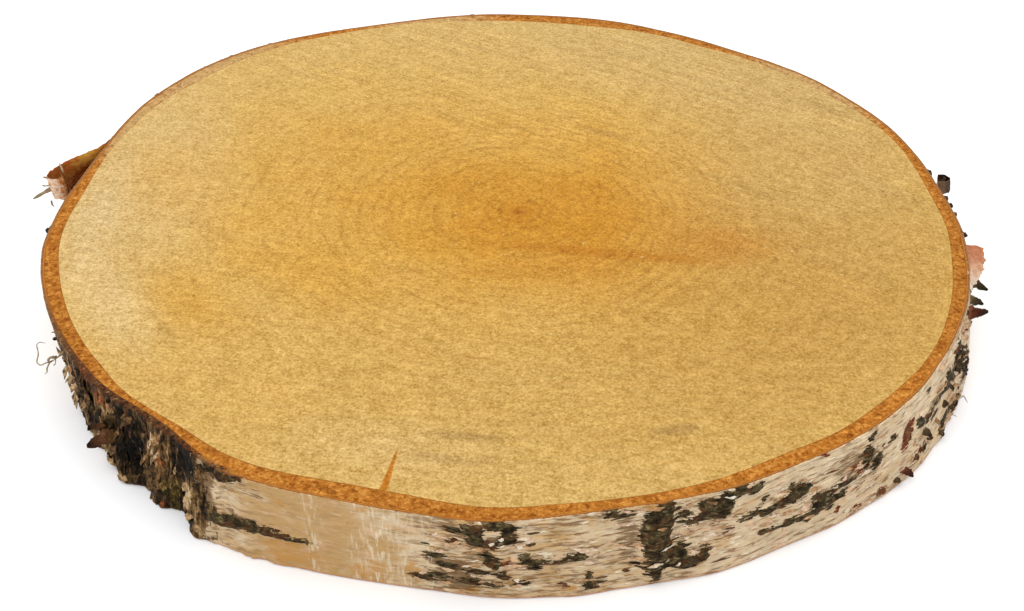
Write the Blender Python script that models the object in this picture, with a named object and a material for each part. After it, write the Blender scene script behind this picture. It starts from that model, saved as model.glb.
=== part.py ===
"""Birch wood slice: a sawn cross-section of a birch log that lies on its lower face.

Three layers grew round each other, and each is its own solid: the pale wood, the orange-brown
inner bark and the papery outer bark, which carries its raised cork and its loose peels.

Units are metres, +Z is up and the origin lies on the lower face under the middle of the slice.
A bearing is in degrees, anticlockwise from +X as seen from above. A drop is a depth in
millimetres below the upper face.
"""
import math
import random

import bmesh
import bpy
from mathutils import Vector, noise

MM = 0.001

# Driving sizes of the slice, in millimetres
THICKNESS = 25.0
RIM_RADIUS = 135.0
INNER_BARK_WIDTH = 4.2
OUTER_BARK_THICKNESS = 1.0
LAYER_GAP = 0.3

# How far the outer bark's cut edge stands proud of the rim line
BARK_PROUD = 0.4

# The log widens a little downwards, and its axis leans
FLARE = 0.4
LEAN = 3.9
LEAN_BEARING = -2.0

# Swellings of the rim: bearing, half width in degrees, height in millimetres
RIM_SWELLINGS = (
    (137.0, 27.0, 3.5),
    (172.0, 21.0, -3.6),
    (105.0, 22.0, -1.6),
    (97.0, 15.0, 0.9),
    (75.0, 13.0, 0.7),
    (53.0, 17.0, -1.1),
    (40.0, 15.0, 1.1),
    (25.0, 13.0, 0.8),
    (6.0, 12.0, -1.1),
    (-20.0, 15.0, 1.0),
    (-40.0, 22.0, 1.6),
    (-52.0, 20.0, 0.4),
    (-77.0, 12.0, -0.9),
    (-92.0, 9.0, 1.1),
    (-117.0, 12.0, 1.4),
    (-130.0, 10.0, -2.0),
    (-156.0, 20.0, 0.6),
)

# Where the inner bark is thicker or thinner: bearing, half width, change in width
BARK_SWELLINGS = (
    (-160.0, 18.0, 0.7),
    (-132.0, 11.0, -1.9),
    (-106.0, 20.0, 1.4),
    (-98.0, 24.0, 0.7),
    (-76.0, 12.0, -0.7),
    (-58.0, 9.0, 0.8),
    (-44.0, 11.0, 0.6),
    (-31.0, 10.0, -0.7),
    (-14.0, 10.0, 0.5),
    (20.0, 26.0, -1.1),
    (51.0, 8.0, -1.0),
    (76.0, 13.0, 1.8),
    (90.0, 20.0, 1.6),
    (110.0, 20.0, -1.7),
    (142.0, 15.0, 1.8),
    (168.0, 14.0, -1.5),
)

# Swellings that grow towards the lower face: bearing, half width, height at the foot
FOOT_SWELLINGS = (
    (-110.0, 8.0, 0.8),
    (-94.0, 11.0, -1.3),
    (-82.0, 4.0, 0.5),
    (-59.0, 10.0, -1.1),
    (-38.0, 13.0, 1.5),
    (-40.0, 22.0, -1.6),
)

# The deeply fissured stretch of old bark
ROUGH_BEARING = -132.0
ROUGH_HALF_WIDTH = 22.0
ROUGH_TOP = 1.3
ROUGH_FOOT = 5.6
ROUGH_LUMP = (-122.5, 4.5, 1.4)
ROUGH_STEP = (-126.5, 2.5, -1.6)
RIDGE_PITCH = 7.0
RIDGE_LENGTH = 20.0
ROUGH_MEAN = 0.8
ROUGH_RIDGE = 0.6
RIDGE_SLICE = 3.1

# Soft unevenness of the papery bark
PAPER_WAVE = 0.35
PAPER_WAVE_PITCH = 16.0
PAPER_WAVE_STRETCH = 2.0
DEEPEST_PIT = 0.35

# Cork plates: bearing, drop, half length round the trunk, half height, height above the paper
CORK_PLATES = (
    (-118.5, 1.6, 4.0, 2.0, 0.9),
    (-118.5, 14.5, 4.5, 3.0, 1.3),
    (-113.0, 15.0, 7.0, 1.5, 0.9),
    (-91.8, 3.8, 5.5, 3.6, 0.8),
    (-90.0, 9.8, 2.0, 3.0, 0.6),
    (-92.5, 17.0, 9.0, 4.0, 0.5),
    (-85.0, 12.8, 9.5, 1.5, 0.9),
    (-74.0, 6.5, 3.8, 6.5, 1.2),
    (-74.4, 16.5, 3.6, 6.5, 1.2),
    (-68.5, 5.0, 6.5, 2.2, 1.1),
    (-65.0, 1.9, 5.0, 1.6, 0.8),
    (-70.8, 18.2, 4.6, 2.4, 1.0),
    (-60.8, 8.7, 9.5, 1.8, 1.1),
    (-57.5, 15.6, 11.0, 2.2, 1.2),
    (-51.5, 11.8, 5.0, 1.3, 0.7),
    (-48.0, 6.8, 2.0, 3.2, 0.6),
    (-41.3, 10.6, 2.8, 3.6, -0.5),
    (-31.0, 8.6, 6.0, 2.4, 0.9),
    (-28.2, 4.8, 4.5, 1.9, 0.8),
    (-23.8, 15.6, 5.6, 4.0, 1.0),
    (-37.8, 10.5, 4.0, 1.6, 0.5),
    (-33.0, 23.0, 3.6, 2.0, 0.9),
    (-15.0, 11.0, 4.5, 2.6, 0.6),
    (-9.0, 18.0, 6.0, 2.2, 0.6),
    (-2.0, 7.0, 6.5, 2.0, 0.7),
)

# A plate keeps its full height out to this share of its half sizes, and ends at the second
PLATE_SHOULDER = (0.55, 1.3)

# Cork plates on the far side, strewn by a seeded draw
FAR_PLATES = 27
FAR_SEED = 11
FAR_BEARINGS = (8.0, 184.0)

# Mesh fineness
BARK_SEGMENTS = 320
BARK_ROWS = 9
CORE_SEGMENTS = 160

# The long peel at the left: a ribbon of bark that leaves the trunk and ends in a scroll
PEEL_THICKNESS = 0.9
SCROLL_SHRINK = 0.38
RIBBON_ROUTE = (
    (-125.9, 44.8),
    (-127.9, 38.2),
    (-130.4, 32.6),
    (-134.8, 27.8),
    (-138.6, 23.6),
    (-140.9, 19.6),
    (-142.3, 15.6),
)
RIBBON_SCROLL = (-139.7, 14.6)
RIBBON_SCROLL_RADIUS = 2.8
RIBBON_SCROLL_TURN = 250.0
RIBBON_DROPS = (0.2, 9.0)
RIBBON_SCROLL_STEPS = 9

# The dark scroll on the right, beyond the middle
SCROLL_ROUTE = (
    (133.2, 12.4),
    (133.3, 15.8),
    (134.4, 19.2),
)
SCROLL_CENTRE = (136.2, 21.2)
SCROLL_RADIUS = 2.3
SCROLL_TURN = 250.0
SCROLL_DROPS = (0.4, 5.4)
SCROLL_STEPS = 8

# Bearing, drop, reach, half width, half height and sag of each thorn-like scrap of bark
THORNS = (
    (-137.5, 12.8, 6.4, 2.6, 3.2, 1.0),
    (-12.6, 5.4, 5.0, 1.3, 1.6, 0.6),
    (-16.8, 4.4, 3.6, 1.2, 1.4, 0.6),
    (-19.2, 5.0, 5.0, 1.5, 2.4, 0.4),
    (-173.8, 1.6, 1.8, 1.0, 1.6, 0.3),
    (2.6, 1.9, 1.8, 1.0, 1.5, 0.2),
    (-4.6, 1.4, 1.5, 0.9, 1.4, 0.3),
    (-37.6, 14.5, 2.6, 1.2, 1.4, 0.8),
    (-41.5, 21.5, 3.2, 1.3, 1.5, 0.8),
    (132.0, 2.2, 2.6, 2.6, 1.8, 0.4),
)

# Sections of a thorn from root to tip: shares of its reach, its root's size and its sag
THORN_SECTIONS = (
    (0.0, 1.0, 0.0),
    (0.45, 0.7, 0.2),
    (1.0, 0.12, 1.0),
)

# How far the roots of scraps stay outside the outer bark's hidden face
ROOT_CLEARANCE = 0.25

# Corners closer than this, in metres, become one after scraps are fused on
WELD_DISTANCE = 0.00002

# The pink flap at the right: a sheet that hangs outwards from the rim.
# Bearing, reach beyond the bark and drop of its free edge
FLAP_STATIONS = (
    (-7.6, 5.0, 0.9),
    (-10.2, 4.6, 2.4),
    (-12.8, 3.0, 3.2),
    (-15.4, 0.9, 2.6),
)
FLAP_ROOT_DROP = 0.4

# Plain finishes: base colour and roughness
WOOD_FINISH = ((0.70, 0.42, 0.15), 0.75)
INNER_BARK_FINISH = ((0.48, 0.21, 0.05), 0.85)
OUTER_BARK_FINISH = ((0.62, 0.52, 0.38), 0.8)

# Edges that turn by more than this, in degrees, are shaded sharp
SHARP_EDGE = 35.0


def raised_cosine(distance, half_width):
    """Return a smooth hump: 1 in the middle, 0 at the half width and beyond."""
    if abs(distance) >= half_width:
        return 0.0
    return 0.5 * (1.0 + math.cos(math.pi * distance / half_width))


def smooth_fall(distance, full, gone):
    """Return 1 up to full, 0 from gone on, and a smooth step between them."""
    share = min(1.0, max(0.0, (gone - distance) / (gone - full)))
    return share * share * (3.0 - 2.0 * share)


def turn_between(bearing, other):
    """Return the signed turn from one bearing to another, in degrees."""
    return (bearing - other + 180.0) % 360.0 - 180.0


def sum_swellings(swellings, bearing):
    """Add up a list of swellings at a bearing."""
    return sum(
        height * raised_cosine(turn_between(bearing, middle), half_width)
        for middle, half_width, height in swellings
    )


def rim_radius(bearing, drop):
    """Return the radius of the inner bark's outer edge, in millimetres."""
    rim = RIM_RADIUS + sum_swellings(RIM_SWELLINGS, bearing)
    lean = LEAN * math.cos(math.radians(bearing - LEAN_BEARING))
    foot = FLARE + lean + sum_swellings(FOOT_SWELLINGS, bearing)
    return rim + foot * drop / THICKNESS


def inner_bark_face(bearing, drop):
    """Return the radius of the inner bark's outer face in the solid model."""
    return rim_radius(bearing, drop) + BARK_PROUD - OUTER_BARK_THICKNESS - LAYER_GAP


def wood_radius(bearing, drop):
    """Return the radius of the wood."""
    width = INNER_BARK_WIDTH + sum_swellings(BARK_SWELLINGS, bearing)
    return rim_radius(bearing, drop) - width


def far_plates():
    """Return cork plates for the far side, drawn with a fixed seed."""
    draw = random.Random(FAR_SEED)
    plates = []
    for index in range(FAR_PLATES):
        step = (FAR_BEARINGS[1] - FAR_BEARINGS[0]) / FAR_PLATES
        bearing = FAR_BEARINGS[0] + step * (index + draw.uniform(0.1, 0.9))
        plates.append((
            bearing,
            draw.uniform(2.0, 23.0),
            draw.uniform(3.0, 11.0),
            draw.uniform(1.3, 3.4),
            draw.uniform(0.6, 1.2),
        ))
    return tuple(plates)


ALL_PLATES = CORK_PLATES + far_plates()


def plate_height(bearing, drop):
    """Return how far the cork plates raise the bark at a place, in millimetres."""
    height = 0.0
    for middle, plate_drop, half_length, half_height, proud in ALL_PLATES:
        along = math.radians(turn_between(bearing, middle)) * RIM_RADIUS / half_length
        if abs(along) > PLATE_SHOULDER[1]:
            continue
        distance = math.hypot(along, (drop - plate_drop) / half_height)
        height += proud * smooth_fall(distance, *PLATE_SHOULDER)
    return height


def rough_height(bearing, drop):
    """Return the height of the old fissured bark at a place, in millimetres."""
    weight = raised_cosine(turn_between(bearing, ROUGH_BEARING), ROUGH_HALF_WIDTH)
    if weight == 0.0:
        return 0.0
    weight = math.sqrt(weight)
    deep = drop / THICKNESS
    thickness = ROUGH_TOP + (ROUGH_FOOT - ROUGH_TOP) * deep
    along = math.radians(bearing) * RIM_RADIUS
    ridge = noise.noise(Vector((along / RIDGE_PITCH, drop / RIDGE_LENGTH, RIDGE_SLICE)))
    lump = sum_swellings((ROUGH_LUMP, ROUGH_STEP), bearing) * deep
    return weight * thickness * (ROUGH_MEAN + ROUGH_RIDGE * ridge) + lump


def paper_wave(bearing, drop):
    """Return the soft unevenness of the papery bark, in millimetres."""
    angle = math.radians(bearing)
    place = Vector((math.cos(angle), math.sin(angle), 0.0)) * RIM_RADIUS
    place.z = drop * PAPER_WAVE_STRETCH
    return PAPER_WAVE * noise.noise(place / PAPER_WAVE_PITCH)


def bark_radius(bearing, drop):
    """Return the radius of the outer bark's weathered face, in millimetres."""
    relief = plate_height(bearing, drop) + rough_height(bearing, drop) + paper_wave(bearing, drop)
    return rim_radius(bearing, drop) + BARK_PROUD + max(relief, -DEEPEST_PIT)


def outer_bark_inside(bearing, drop):
    """Return the radius of the outer bark's hidden inner face."""
    return inner_bark_face(bearing, drop) + LAYER_GAP


def root_radius(bearing, drop):
    """Return the radius where a scrap's root ends inside the outer bark."""
    return outer_bark_inside(bearing, drop) + ROOT_CLEARANCE


def inner_bark_inside(bearing, drop):
    """Return the radius of the inner bark's face towards the wood."""
    return wood_radius(bearing, drop) + LAYER_GAP


def wall_point(radius, bearing, drop):
    """Return a point in metres from a radius, a bearing and a drop."""
    angle = math.radians(bearing)
    return Vector((radius * math.cos(angle), radius * math.sin(angle), THICKNESS - drop)) * MM


def ring_of_points(mesh, radius_at, segments, drop):
    """Add one closed ring of vertices at a drop."""
    ring = []
    for index in range(segments):
        bearing = 360.0 * index / segments - 180.0
        ring.append(mesh.verts.new(wall_point(radius_at(bearing, drop), bearing, drop)))
    return ring


def join_rings(mesh, lower, upper, outwards=True):
    """Add a wall between two rings, split the same way whichever way it faces."""
    count = len(lower)
    for index in range(count):
        after = (index + 1) % count
        halves = (
            (lower[index], lower[after], upper[after]),
            (lower[index], upper[after], upper[index]),
        )
        for half in halves:
            mesh.faces.new(half if outwards else tuple(reversed(half)))


def object_from(mesh, name, material):
    """Turn a bmesh into a named object in the scene."""
    data = bpy.data.meshes.new(name)
    mesh.normal_update()
    mesh.to_mesh(data)
    mesh.free()
    data.materials.append(material)
    thing = bpy.data.objects.new(name, data)
    bpy.context.scene.collection.objects.link(thing)
    return thing


def make_material(name, colour, roughness):
    """Make a plain Principled material."""
    material = bpy.data.materials.new(name)
    material.use_nodes = True
    shader = material.node_tree.nodes["Principled BSDF"]
    shader.inputs["Base Color"].default_value = (*colour, 1.0)
    shader.inputs["Roughness"].default_value = roughness
    shader.inputs["Metallic"].default_value = 0.0
    return material


def make_wood(material):
    """Make the wood: a flat disc between two sawn faces."""
    mesh = bmesh.new()
    lower = ring_of_points(mesh, wood_radius, CORE_SEGMENTS, THICKNESS)
    upper = ring_of_points(mesh, wood_radius, CORE_SEGMENTS, 0.0)
    join_rings(mesh, lower, upper)
    mesh.faces.new(upper)
    mesh.faces.new(tuple(reversed(lower)))
    return object_from(mesh, "wood_disc", material)


def make_ring(name, outside, inside, segments, rows, material):
    """Make a closed ring of bark between an outer and an inner face."""
    mesh = bmesh.new()
    drops = [THICKNESS * (rows - row) / rows for row in range(rows + 1)]
    outer = [ring_of_points(mesh, outside, segments, drop) for drop in drops]
    inner = [ring_of_points(mesh, inside, segments, drop) for drop in (THICKNESS, 0.0)]
    for below, above in zip(outer, outer[1:]):
        join_rings(mesh, below, above)
    join_rings(mesh, outer[-1], inner[1])
    join_rings(mesh, inner[0], inner[1], outwards=False)
    join_rings(mesh, inner[0], outer[0])
    return object_from(mesh, name, material)


def scroll_route(route, centre, radius, turn, steps):
    """Lengthen a route with an inward spiral about a centre."""
    start = math.atan2(route[-1][1] - centre[1], route[-1][0] - centre[0])
    points = list(route)
    for step in range(1, steps + 1):
        share = step / steps
        angle = start + math.radians(turn) * share
        reach = radius * (1.0 - SCROLL_SHRINK * share)
        points.append((centre[0] + reach * math.cos(angle), centre[1] + reach * math.sin(angle)))
    return points


def close_stations(mesh, stations):
    """Join four-cornered sections into one closed skin, split alike on opposite sides."""
    for near, far in zip(stations, stations[1:]):
        for corner in range(4):
            following = (corner + 1) % 4
            if corner < 2:
                mesh.faces.new((near[corner], near[following], far[following]))
                mesh.faces.new((near[corner], far[following], far[corner]))
            else:
                mesh.faces.new((near[corner], near[following], far[corner]))
                mesh.faces.new((near[following], far[following], far[corner]))
    mesh.faces.new(tuple(reversed(stations[0])))
    mesh.faces.new(stations[-1])
    bmesh.ops.recalc_face_normals(mesh, faces=mesh.faces)


def leaned_point(x, y, drop):
    """Return a point below a place on the upper face, moved outwards as the wall there moves."""
    bearing = math.degrees(math.atan2(y, x))
    shift = rim_radius(bearing, drop) - rim_radius(bearing, 0.0)
    radial = Vector((x, y, 0.0)).normalized()
    return Vector((x, y, THICKNESS - drop)) + radial * shift


def make_strip(name, route, drops, thickness, material):
    """Make a strip of bark that follows a route seen from above and leans as the wall does."""
    mesh = bmesh.new()
    stations = []
    for index, (x, y) in enumerate(route):
        before = route[max(index - 1, 0)]
        after = route[min(index + 1, len(route) - 1)]
        heading = Vector((after[0] - before[0], after[1] - before[1], 0.0)).normalized()
        side = Vector((-heading.y, heading.x, 0.0)) * thickness / 2.0
        high = leaned_point(x, y, drops[0])
        low = leaned_point(x, y, drops[1])
        corners = (low - side, low + side, high + side, high - side)
        stations.append([mesh.verts.new(corner * MM) for corner in corners])
    close_stations(mesh, stations)
    return object_from(mesh, name, material)


def make_thorn(name, thorn, material):
    """Make a thorn-like scrap: a tapered wedge that grows out of the bark."""
    bearing, drop, reach, half_width, half_height, sag = thorn
    surface = bark_radius(bearing, drop)
    half_turn = math.degrees(half_width / RIM_RADIUS)
    mesh = bmesh.new()
    rings = []
    for out, size, fall in THORN_SECTIONS:
        ring = []
        for across, down in ((-1, 0), (0, 1), (1, 0), (0, -1)):
            corner_bearing = bearing + across * half_turn * size
            corner_drop = drop + fall * sag + down * half_height * size
            if out == 0.0:
                radius = root_radius(corner_bearing, corner_drop)
            else:
                radius = surface + out * reach
            ring.append(mesh.verts.new(wall_point(radius, corner_bearing, corner_drop)))
        rings.append(ring)
    close_stations(mesh, rings)
    return object_from(mesh, name, material)


def make_flap(material):
    """Make the pink flap: a thin sheet that hangs outwards from the rim and narrows to one end."""
    mesh = bmesh.new()
    stations = []
    for bearing, reach, drop in FLAP_STATIONS:
        surface = bark_radius(bearing, FLAP_ROOT_DROP)
        corners = (
            (root_radius(bearing, FLAP_ROOT_DROP), FLAP_ROOT_DROP),
            (surface + reach, drop),
            (surface + reach, drop + PEEL_THICKNESS),
            (root_radius(bearing, FLAP_ROOT_DROP), FLAP_ROOT_DROP + PEEL_THICKNESS),
        )
        stations.append([mesh.verts.new(wall_point(radius, bearing, deep)) for radius, deep in corners])
    close_stations(mesh, stations)
    return object_from(mesh, "flap", material)


def weld_short_edges(body):
    """Merge corners that the union left closer together than the weld distance."""
    mesh = bmesh.new()
    mesh.from_mesh(body.data)
    bmesh.ops.remove_doubles(mesh, verts=mesh.verts, dist=WELD_DISTANCE)
    bmesh.ops.dissolve_degenerate(mesh, edges=mesh.edges, dist=WELD_DISTANCE)
    mesh.to_mesh(body.data)
    mesh.free()


def join_into(body, scraps):
    """Fuse loose scraps into a body with one Boolean union."""
    group = bpy.data.collections.new("scraps")
    bpy.context.scene.collection.children.link(group)
    for scrap in scraps:
        bpy.context.scene.collection.objects.unlink(scrap)
        group.objects.link(scrap)
    union = body.modifiers.new("scraps", "BOOLEAN")
    union.operation = "UNION"
    union.operand_type = "COLLECTION"
    union.collection = group
    union.solver = "EXACT"
    bpy.context.view_layer.objects.active = body
    bpy.ops.object.modifier_apply(modifier=union.name)
    for scrap in scraps:
        bpy.data.objects.remove(scrap)
    bpy.data.collections.remove(group)
    weld_short_edges(body)


def shade_round(thing):
    """Shade an object smooth, with sharp edges where it turns more."""
    thing.data.shade_smooth()
    thing.data.set_sharp_from_angle(angle=math.radians(SHARP_EDGE))


def main():
    """Build the slice."""
    for old in list(bpy.data.objects):
        bpy.data.objects.remove(old)

    wood = make_wood(make_material("sawn_wood", *WOOD_FINISH))
    inner = make_ring(
        "inner_bark", inner_bark_face, inner_bark_inside, CORE_SEGMENTS, 1,
        make_material("inner_bark", *INNER_BARK_FINISH),
    )
    bark_material = make_material("outer_bark", *OUTER_BARK_FINISH)
    outer = make_ring(
        "outer_bark", bark_radius, outer_bark_inside, BARK_SEGMENTS, BARK_ROWS, bark_material,
    )

    ribbon_route = scroll_route(
        RIBBON_ROUTE, RIBBON_SCROLL, RIBBON_SCROLL_RADIUS, RIBBON_SCROLL_TURN, RIBBON_SCROLL_STEPS,
    )
    dark_route = scroll_route(SCROLL_ROUTE, SCROLL_CENTRE, SCROLL_RADIUS, SCROLL_TURN, SCROLL_STEPS)
    scraps = [
        make_strip("ribbon", ribbon_route, RIBBON_DROPS, PEEL_THICKNESS, bark_material),
        make_strip("scroll", dark_route, SCROLL_DROPS, PEEL_THICKNESS, bark_material),
        make_flap(bark_material),
    ]
    for index, thorn in enumerate(THORNS):
        scraps.append(make_thorn(f"thorn_{index}", thorn, bark_material))
    join_into(outer, scraps)

    for thing in (wood, inner, outer):
        shade_round(thing)


main()
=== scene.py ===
"""Birch wood slice: the finished look of a sawn cross-section of a birch log.

Each layer of the log is dressed as the real one: the sawn wood, the granular inner bark and the
papery outer bark, with its cork, peels, scraps and curled fibres.

Sizes are in millimetres unless a name says otherwise, and meshes are written in metres. A bearing
is in degrees, anticlockwise from +X as seen from above. A drop is a depth in millimetres below
the upper face. Colours are display values from 0 to 255.
"""
from __future__ import annotations

import logging
import math
import random
from dataclasses import dataclass, field, replace
from enum import Enum
from functools import cache
from typing import Optional, Sequence, Union

import bmesh
import bpy
import numpy as np
from mathutils import Matrix, Vector, noise


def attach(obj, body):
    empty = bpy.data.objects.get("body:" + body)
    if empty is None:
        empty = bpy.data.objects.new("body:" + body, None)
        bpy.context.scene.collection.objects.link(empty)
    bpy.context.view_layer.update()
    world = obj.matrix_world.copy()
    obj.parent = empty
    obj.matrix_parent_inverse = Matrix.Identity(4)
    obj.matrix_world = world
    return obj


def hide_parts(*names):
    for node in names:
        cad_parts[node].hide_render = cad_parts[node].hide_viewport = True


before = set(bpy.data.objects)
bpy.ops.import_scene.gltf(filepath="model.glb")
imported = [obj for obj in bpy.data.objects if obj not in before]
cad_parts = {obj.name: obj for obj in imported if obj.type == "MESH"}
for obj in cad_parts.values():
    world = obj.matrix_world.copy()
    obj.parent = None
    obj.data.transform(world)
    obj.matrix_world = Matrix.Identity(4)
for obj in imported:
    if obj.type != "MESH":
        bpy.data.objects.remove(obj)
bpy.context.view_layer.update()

LOG = logging.getLogger("birch_slice")
MM = 0.001

# The light is this much stronger than a plain white floor needs, so colours are held back by as much
EXPOSURE_SHARE = 0.715

# Dry wood and bark hardly mirror the studio
DULL_SPECULAR = 0.06

Array = np.ndarray
Material = bpy.types.Material
Thing = bpy.types.Object
Socket = bpy.types.NodeSocket
Pair = tuple[float, float]
Triple = tuple[float, float, float]
Colour = Triple
Mark = tuple[float, ...]
Stops = tuple[tuple[float, Colour], ...]
Swellings = tuple[Triple, ...]
Feed = Union[Socket, float, Sequence[float], None]


def linear(colour: Colour) -> tuple[float, float, float, float]:
    """Turn a display colour into linear light.

    Args:
        colour: Red, green and blue from 0 to 255.

    Returns:
        Linear red, green and blue from 0 to 1, and full alpha.
    """
    shares = [value / 255.0 for value in colour]
    light = [share / 12.92 if share <= 0.04045 else ((share + 0.055) / 1.055) ** 2.4 for share in shares]
    red, green, blue = (EXPOSURE_SHARE * value for value in light)
    return (red, green, blue, 1.0)


def raised_cosine(distance: Array, half_width: float) -> Array:
    """Return a smooth hump: 1 in the middle, and 0 at the half width and beyond."""
    hump = 0.5 * (1.0 + np.cos(np.pi * np.clip(distance / half_width, -1.0, 1.0)))
    return np.where(np.abs(distance) < half_width, hump, 0.0)


def smooth_step(value: Array, low: float, high: float) -> Array:
    """Return a smooth step from 0 at the low value to 1 at the high one, which may be the lesser."""
    share = np.clip((value - low) / (high - low), 0.0, 1.0)
    return share * share * (3.0 - 2.0 * share)


def turn_between(bearing: Array, other: float) -> Array:
    """Return the signed turn from one bearing to another, in degrees."""
    return (bearing - other + 180.0) % 360.0 - 180.0


def sum_swellings(swellings: Swellings, bearing: Array) -> Array:
    """Add up humps round the trunk.

    Args:
        swellings: Bearing, half width and height of each hump.
        bearing: Bearings to read.

    Returns:
        The summed height at each bearing.
    """
    total = np.zeros_like(bearing)
    for middle, half_width, height in swellings:
        total = total + height * raised_cosine(turn_between(bearing, middle), half_width)
    return total


def noise_at(x: Array, y: Array, z: Array) -> Array:
    """Read smooth noise at many places.

    Args:
        x: First coordinates.
        y: Second coordinates.
        z: Third coordinates.

    Returns:
        Noise of about -1 to 1 at each place.
    """
    x, y, z = np.broadcast_arrays(x, y, z)
    places = zip(x.ravel().tolist(), y.ravel().tolist(), z.ravel().tolist())
    return np.array([noise.noise(place) for place in places]).reshape(x.shape)


@dataclass(frozen=True)
class Grain:
    """A band of noise: its pitch across and down, and an offset that gives it its own pattern."""

    pitch: float
    down_pitch: float = 1.0
    offset: float = 0.0

    def read(self, x: Array, y: Array, z: Array) -> Array:
        """Return the noise at each place."""
        return noise_at(x / self.pitch, y / self.pitch, z / self.down_pitch + self.offset)


def smooth_route(points: Array, steps: int) -> Array:
    """Run a smooth curve through points.

    Args:
        points: The points, one in each row.
        steps: Steps between two neighbouring points.

    Returns:
        The points of a Catmull-Rom curve.
    """
    ends = np.vstack([2.0 * points[0] - points[1], points, 2.0 * points[-1] - points[-2]])
    route = []
    for before, start, stop, after in zip(ends, ends[1:], ends[2:], ends[3:]):
        for share in np.arange(steps) / steps:
            pull = (stop - before) * share
            bend = (2.0 * before - 5.0 * start + 4.0 * stop - after) * share**2
            twist = (3.0 * start - before - 3.0 * stop + after) * share**3
            route.append(start + 0.5 * (pull + bend + twist))
    route.append(points[-1])
    return np.array(route)


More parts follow.
